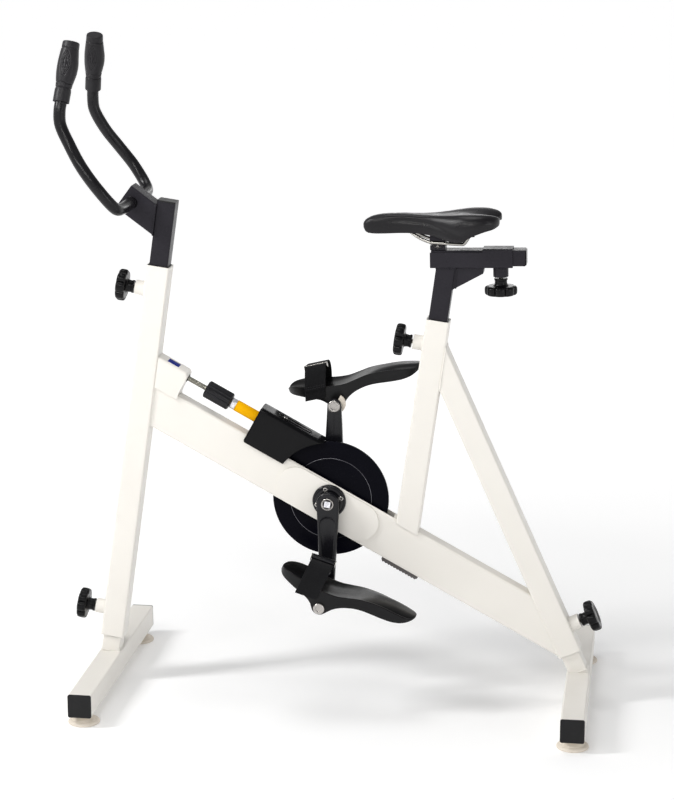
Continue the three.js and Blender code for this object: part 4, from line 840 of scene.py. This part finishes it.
def tension_gear():
    threaded(ROD, "rod_thread", "frame", ROD_RADIUS, ROD_START, ROD_STOP, ROD_PITCH, 0.62, "tension_rod")
    long = TURN_KNOB_LENGTH
    edge = [(6, 3), (6.4, 0.6), (7.4, 0), (15.4, 0), (16.6, 0.3), (19.2, 2.3), (19.9, 2.8)]
    grips = [(TURN_KNOB_RADIUS, x) for x in np.arange(3.2, long - 3, 0.6)]
    rows = [*edge, *grips, *[(r, long - x) for r, x in reversed(edge)], edge[0]]
    spun(ROD, "fluted_tension_knob", CAST, "tension_knob", rows, 200, "tension_knob",
         at=TURN_KNOB_START, ends=False, wave=fluted)
    r, long = COLLAR_RADIUS, COLLAR_THICK
    rows = [(6, 0), (r - 0.8, 0), (r, 0.8), (r, 3.2), (r - 0.5, 3.6), (r - 0.5, 4.2), (r, 4.6),
            (r, long - 0.8), (r - 0.8, long), (6, long), (6, 0)]
    spun(ROD, "collar_turned", PALE_STEEL, "brake_push", rows, 96, "tension_collar", 45, COLLAR_START, False)
    r, long = SLEEVE_RADIUS, SLEEVE_STOP - SLEEVE_START
    rows = [(r - 3, 0), (r - 0.7, 0), (r - 0.15, 0.3), (r, 0.9), (r, 26), (r, long - 26), (r, long - 0.8),
            (r - 0.8, long), (r - 3, long), (r - 3, 0)]
    spun(ROD, "sleeve_turned", AMBER, "brake_push", rows, 96, "tension_sleeve", 45, SLEEVE_START, False)


def plate(home, name, material, body, x0, x1, y0, y1, z0, z1, r, edge):
    """A plate with rounded corners and softened upper and lower edges."""
    rings = []
    for inset, z in ((edge, z0), (edge * 0.3, z0 + edge * 0.3), (0, z0 + edge),
                     (0, z1 - edge), (edge * 0.3, z1 - edge * 0.3), (edge, z1)):
        outline = rounded(x0 + inset, x1 - inset, y0 + inset, y1 - inset, r - inset, 6)
        rings.append([(x, y, z) for x, y in outline])
    solid(home, [rings], name, material, body, sharp=45)


COVER_TOP, COVER_LOW, COVER_HALF, COVER_ARC, COVER_REACH = 106, 21.2, 29, 133, 126.6
COVER_START, COVER_EDGE, COVER_CORNER, COVER_HOLE = -223, 5, 7, 13.4


def cover_section(inset):
    """Points (y, z) of the cover's section, drawn in by an inset."""
    half, low, high = COVER_HALF - inset, COVER_LOW + inset, COVER_TOP - inset
    top, foot = max(COVER_CORNER - inset, 1.2), 1.2
    corners = [(half - top, high - top, top, 0), (-half + top, high - top, top, 90),
               (-half + foot, low + foot, foot, 180), (half - foot, low + foot, foot, 270)]
    arcs = [arc(*corner, 90, 8) for corner in corners]
    points = []
    for bend, after in zip(arcs, arcs[1:] + arcs[:1]):
        points += [*bend, *between(bend[-1], after[0], 8)]
    return points


def cover_shell():
    """A shell with a round front edge, a hole for the sleeve and a rear edge that follows the disc."""
    rim, inner = cover_section(0), cover_section(3)
    ways = [atan2(z - ROD_Z, y) for y, z in rim]
    hole = [(COVER_HOLE * cos(way), ROD_Z + COVER_HOLE * sin(way)) for way in ways]
    lead = blend(hole, cover_section(COVER_EDGE), 0.04)

    def flat(points, x):
        return [(COVER_START + x, y, z) for y, z in points]

    def curved(points, back):
        return [(-sqrt((COVER_REACH + back) ** 2 - z * z), y, z) for y, z in points]

    rings = [flat(hole, 3), flat(hole, 0.5), flat(lead, 0)]
    for x, y in arc(0, 0, 1, 0, 90, 6):
        rings.append(flat(cover_section(COVER_EDGE * (1 - y)), COVER_EDGE * (1 - x)))
    front, rear = flat(rim, COVER_EDGE), curved(rim, 1.4)
    rings += [blend(front, rear, u) for u in (0.12, 0.3, 0.5, 0.7, 0.88, 1)]
    for inset, back in ((0.3, 0.5), (0.9, 0.05), (2, 0.05), (2.7, 0.6), (3, 1.6), (3, 8)):
        rings.append(curved(cover_section(inset), back))
    rings += [flat(inner, 3), rings[0]]
    solid(BEAM, [rings], "cover_moulded", COVER_BLACK, "frame", "brake_cover", 50, first=False, last=False)


def cover_details():
    """The cover's raised slot frame, its screw and the nub behind."""
    rings = []
    for inset, z in ((0, -0.5), (0, 0.7), (0.5, 1.2), (1.8, 1.2), (2.3, 0.8), (2.6, 0.05)):
        ends = [*arc(-112, 0, 9 - inset, -90, 180, 12), *arc(-176, 0, 9 - inset, 90, 180, 12)]
        rings.append([(x, y, COVER_TOP + z) for x, y in ends])
    solid(BEAM, [rings], "cover_slot_frame", PLASTIC, "frame", sharp=50)
    bolt_head(turned(BEAM, -168, COVER_TOP, -90), "cover_screw", "frame", 5.2, -0.4, 2.2)
    plate(BEAM, "cover_nub", CAST, "frame", -92, -79.5, -10, 10, COVER_TOP - 13, COVER_TOP - 1.5, 3, 2)


tension_gear()
cover_shell()
cover_details()


# Weld beads: rippled seams where the tubes meet
BEAD_STEP = 0.9


def bead(home, points, name, size, material=WHITE, body="frame", closed=True):
    """A rippled bead along points of a frame."""
    pts = [home @ (Vector(p) * MM) / MM for p in points]
    if closed:
        pts.append(pts[0])
    fine = []
    for a, b in zip(pts, pts[1:]):
        count = max(1, int((b - a).length / BEAD_STEP))
        fine += [a + (b - a) * (i / count) for i in range(count)]
    if not closed:
        fine.append(pts[-1])

    def section(i):
        ripple = 0.86 + 0.14 * abs(sin(i * BEAD_STEP / 2.7 * pi)) + 0.05 * sin(i * 0.37)
        return circle(size * ripple, 10)

    rings = along(fine, section, closed)
    if closed:
        rings.append(rings[0])
    solid(ROW, [rings], "weld_" + name, material, body, sharp=80, first=not closed, last=not closed)


def seam(home, other, x, corners, axis):
    """Where lines along an axis of one frame, through the corners, cross a plane at x in the other."""
    to = other.inverted() @ home
    out = []
    for corner in corners:
        a = Vector(corner)
        b = a.copy()
        b[axis] += 100
        xa, xb = ((to @ (v * MM)).x / MM for v in (a, b))
        out.append(a + (b - a) * ((x - xa) / (xb - xa)))
    return out


beam_section = [(0, y, z) for y, z in rounded(-20, 20, -53.8, 36.2, 3)]
tube_section = [(x, y, 0) for x, y in rounded(-TUBE_HALF, TUBE_HALF, -TUBE_HALF, TUBE_HALF, 4)]
bracket_section = [(0, y, z) for y, z in rounded(-25, 25, -29, 29, 3)]
post_section = rounded(-20, 20, -20, 20, 3)
bead(BEAM, seam(BEAM, COLUMN, TUBE_HALF, beam_section, 0), "beam_column", 1.9)
bead(BEAM, seam(BEAM, STRUT, -TUBE_HALF, beam_section, 0), "beam_strut", 1.9)
bead(STRUT, seam(STRUT, SEAT, TUBE_HALF, tube_section, 2), "strut_seat", 1.8)
for name, home in CLAMPS.items():
    look = (BLACK, "seat_post") if name == "saddle_slide" else (WHITE, "frame")
    bead(home, [(0.6, y, z) for y, z in circle(16.4, 48)], name + "_boss", 1.5, *look)
for name, home in (("front_foot", COLUMN), ("rear_foot", STRUT)):
    bead(home, [(x, y, 1) for x, y in post_section], name, 1.9, WHITE, name)
slope = [(x, y, POST_LENGTH - 0.6 + 0.16 * x) for x, y in post_section]
bead(SEAT, slope, "post_channel", 1.8, BLACK, "seat_post")
for side, word in SIDES:
    line = [(x, side * 16.5, z) for x, z in ((20, -44), (23, -1), (80, -0.5))]
    bead(SLIDE, line, "gusset_" + word, 1.5, BLACK, "seat_post", closed=False)
bead(BRACKET, seam(BRACKET, COLUMN, -20, bracket_section, 0), "bracket_post", 1.7, BLACK, "handlebar_post")

# Hood of the tension housing: folded sheet with rounded edges, cut to the column and flared at its lip
HOOD_START, HOOD_END, HOOD_SKIRT, HOOD_TOP, HOOD_HALF = -461, -392, 28.2, 91.5, 25
HOOD_CORNER, HOOD_LIP = 6, 9


def hood():
    rings = []
    for u in [*np.linspace(0, 0.8, 6), *np.linspace(0.83, 1, 12)]:
        level = HOOD_END - HOOD_LIP - (HOOD_START + (HOOD_END - HOOD_START) * u)
        top = HOOD_TOP if level > 0 else HOOD_TOP - HOOD_LIP + sqrt(max(HOOD_LIP ** 2 - level * level, 9))
        section = [(HOOD_HALF, z) for z in (HOOD_SKIRT, 29.5, 31, 33, 36, 40, 48, 60, 72)]
        section += arc(HOOD_HALF - HOOD_CORNER, top - HOOD_CORNER, HOOD_CORNER, 0, 90, 6)
        section += [(10, top), (0, top)]
        ring = []
        for y, z in [*section, *[(-y, z) for y, z in section[-2::-1]]]:
            front = HOOD_START - 0.2 - 0.371 * (z - ROD_Z)
            flare = 5 * max(0, (44 - z) / 14) ** 2 if z > 30 else 5
            tuck = 5 * max(0, (34 - z) / 6) ** 2
            end = HOOD_END + (flare - tuck) * u ** 6
            ring.append((front + (end - front) * u, y, z))
        rings.append(ring)
    solid(BEAM, [rings], "hood_folded", WHITE, "frame", "tension_housing", sharp=40, bevel=0.8)
    eye = [(6.2, 0.2), (8.6, 0.2), (9.2, 0.9), (8.6, 1.7), (6.8, 1.7), (6.2, 1)]
    spun(ROD, "hood_eye", PLASTIC, "frame", eye, 48, at=HOOD_END, ends=False)


def cover_walls():
    """Two curved walls inside the cover, on either side of the pad's way."""
    for side, word in SIDES:
        rings = []
        for k in range(19):
            z = 37 + (COVER_TOP - 3.5 - 37) * k / 18
            inner, outer = (-sqrt((COVER_ARC + r) ** 2 - z * z) for r in (0.4, 3))
            corners = ((inner, 9.5), (inner, 25.8), (outer, 25.8), (outer, 9.5))
            rings.append([(x, side * y, z) for x, y in corners])
        solid(BEAM, [rings], f"cover_wall_{word}", COVER_BLACK, "frame", sharp=40)


def dark_mouth_ring(home, top, name, stands_for=None):
    """A thin dark ring in a tube's mouth, a little inside its edge: a liner at the top mouths, and painted
    shade for the gap between tube and post at the foot ends.
    """
    rings = []
    for half, up in ((22.6, -1), (22.6, 0.5), (22.1, 1.1), (21.2, 1.3), (20.4, 1.1), (20.35, -1)):
        rings.append([(x, y, top + up) for x, y in rounded(-half, half, -half, half, 3)])
    solid(home, [[*rings, rings[0]]], name, PLASTIC, "frame", stands_for, 50, first=False, last=False)


def spindle_guard():
    """A pale washer's edge that shows behind the far crank's end."""
    rings = []
    for inset, x in ((1.2, 70), (0.3, 70.4), (0, 71.2), (0, 75.8), (0.4, 76.6), (1.4, 77)):
        sector = [*arc(0, 0, 22 - inset, 120, 130, 24), *arc(0, 0, 10, 250, -130, 24)]
        rings.append([(x, y, z) for y, z in sector])
    solid(sideways(CRANK, 1, CRANK_LENGTH), [rings], "right_spindle_guard", CREAM, "crankset", sharp=45)


def clamp_teeth():
    """The saddle clamp's bolt, and the teeth under it that hold the tilt."""
    for side, word in SIDES:
        home = sideways(SADDLE, side)
        bolt_head(turned(home, 0, -7.4), f"clamp_bolt_{word}", "saddle", 2.5, 17.4, 1.8)
        teeth = []
        for k in range(11):
            way = radians(-155 + 13 * k)
            out, up = cos(way), sin(way)
            rings = []
            for r, share in ((10.3, 0.6), (10.7, 1), (12, 1), (12.4, 0.6)):
                rings.append([(x, r * out - t * share * up, r * up + t * share * out) for x, t in
                              ((17.2, -0.7), (17.9, -0.45), (18.2, 0), (17.9, 0.45), (17.2, 0.7))])
            teeth.append(rings)
        solid(home, teeth, f"clamp_teeth_{word}", SILVER, "saddle", sharp=40)


hood()
plate(BEAM, "hood_film", BLUE, "frame", -446, -419, -17, 9, HOOD_TOP, HOOD_TOP + 0.35, 1.2, 0.1)
cover_walls()
dark_mouth_ring(COLUMN, COLUMN_TOP - 0.2, "column_liner", "column_bush")
dark_mouth_ring(SEAT, SEAT_TOP - 0.2, "seat_tube_liner", "seat_tube_bush")
# Painted shade: dark rings at the foot ends stand for the shadow in the gap between tube and post.
dark_mouth_ring(turned(COLUMN, 0, 0, 180), -COLUMN_LOW - 0.3, "column_foot_gap_shade")
dark_mouth_ring(turned(STRUT, 0, 0, 180), -STRUT_LOW - 0.3, "strut_foot_gap_shade")
plug = turned(SLIDE, 165, 20, 90)
plate(plug, "slide_plug", PLASTIC, "saddle_slider", -15.2, 15.2, -20.2, 20.2, -0.2, 2.4, 2.5, 0.8)
spindle_guard()
clamp_teeth()


# Stage, light and camera
def stage():
    scene = bpy.context.scene
    view = scene.view_settings
    view.view_transform, view.look, view.exposure, view.gamma = "Standard", "None", 0, 1
    sky = Nodes("studio", bpy.data.worlds, "Background")
    split = sky.add("ShaderNodeSeparateXYZ", sky.add("ShaderNodeTexCoord").outputs["Generated"])
    sky.feed(sky.shader.inputs["Color"], (1, 1, 1, 1))
    sky.feed(sky.shader.inputs["Strength"], sky.span(split.outputs["Z"], 0.04, 0.4, 1, 0.33))
    scene.world = sky.owner
    bpy.ops.mesh.primitive_plane_add(size=90, location=(0, 0, 0))
    floor = bpy.context.object
    floor.name = "floor"
    n = Nodes("floor_pale")
    far = n.add("ShaderNodeVectorMath", n.coords(), operation="LENGTH")
    glow = n.span(far.outputs["Value"], 0.3, 3.4, 0.05, 0.64)
    floor.data.materials.append(n.finish(
        n.mix(n.noise(0.8, 3), (0.96, 0.96, 0.96), (0.95, 0.95, 0.955)),
        n.span(n.noise(3, 4), 0.3, 0.7, 0.7, 0.8), None, 0.1,
        {"Emission Color": (1, 1, 1, 1), "Emission Strength": glow}))
    for name, place, energy, wide, tall, tint in (
            ("key", (-0.9, -3.1, 2.6), 36, 2.6, 0.3, (1, 0.99, 0.97)),
            ("left", (-2.5, -1.1, 2.7), 62, 0.5, 1.3, (1, 1, 1)),
            ("right", (2.9, -1.9, 1.4), 10, 0.3, 1.6, (0.98, 0.99, 1)),
            ("top", (-0.3, 0.1, 3.6), 22, 1.3, 1.3, (1, 1, 1)),
            ("back", (0.2, 3.4, 1.35), 3.2, 1.3, 0.4, (1, 1, 1))):
        light = bpy.data.lights.new(name, "AREA")
        light.shape = "RECTANGLE"
        light.energy, light.size, light.size_y, light.color = energy, wide, tall, tint
        o = bpy.data.objects.new(name, light)
        o.location = place
        o.rotation_euler = (Vector((0, 0, 0.6)) - Vector(place)).to_track_quat("-Z", "Y").to_euler()
        scene.collection.objects.link(o)


def camera():
    yaw, pitch, far = radians(7.98), radians(13.28), 5
    focal_px, high_px, sensor = 2357, 800, 36
    forward = Vector((-sin(yaw) * cos(pitch), cos(yaw) * cos(pitch), -sin(pitch)))
    target = Vector(((-11.85 + SHIFT) * MM, 0, 650.7 * MM))
    data = bpy.data.cameras.new("camera")
    data.sensor_fit = "VERTICAL"
    data.sensor_height = sensor
    data.sensor_width = sensor
    data.lens = focal_px * sensor / high_px
    data.clip_start, data.clip_end = 0.1, 100
    o = bpy.data.objects.new("camera", data)
    o.location = target - forward * far
    o.rotation_euler = forward.to_track_quat("-Z", "Y").to_euler()
    bpy.context.scene.collection.objects.link(o)
    bpy.context.scene.camera = o


stage()
camera()
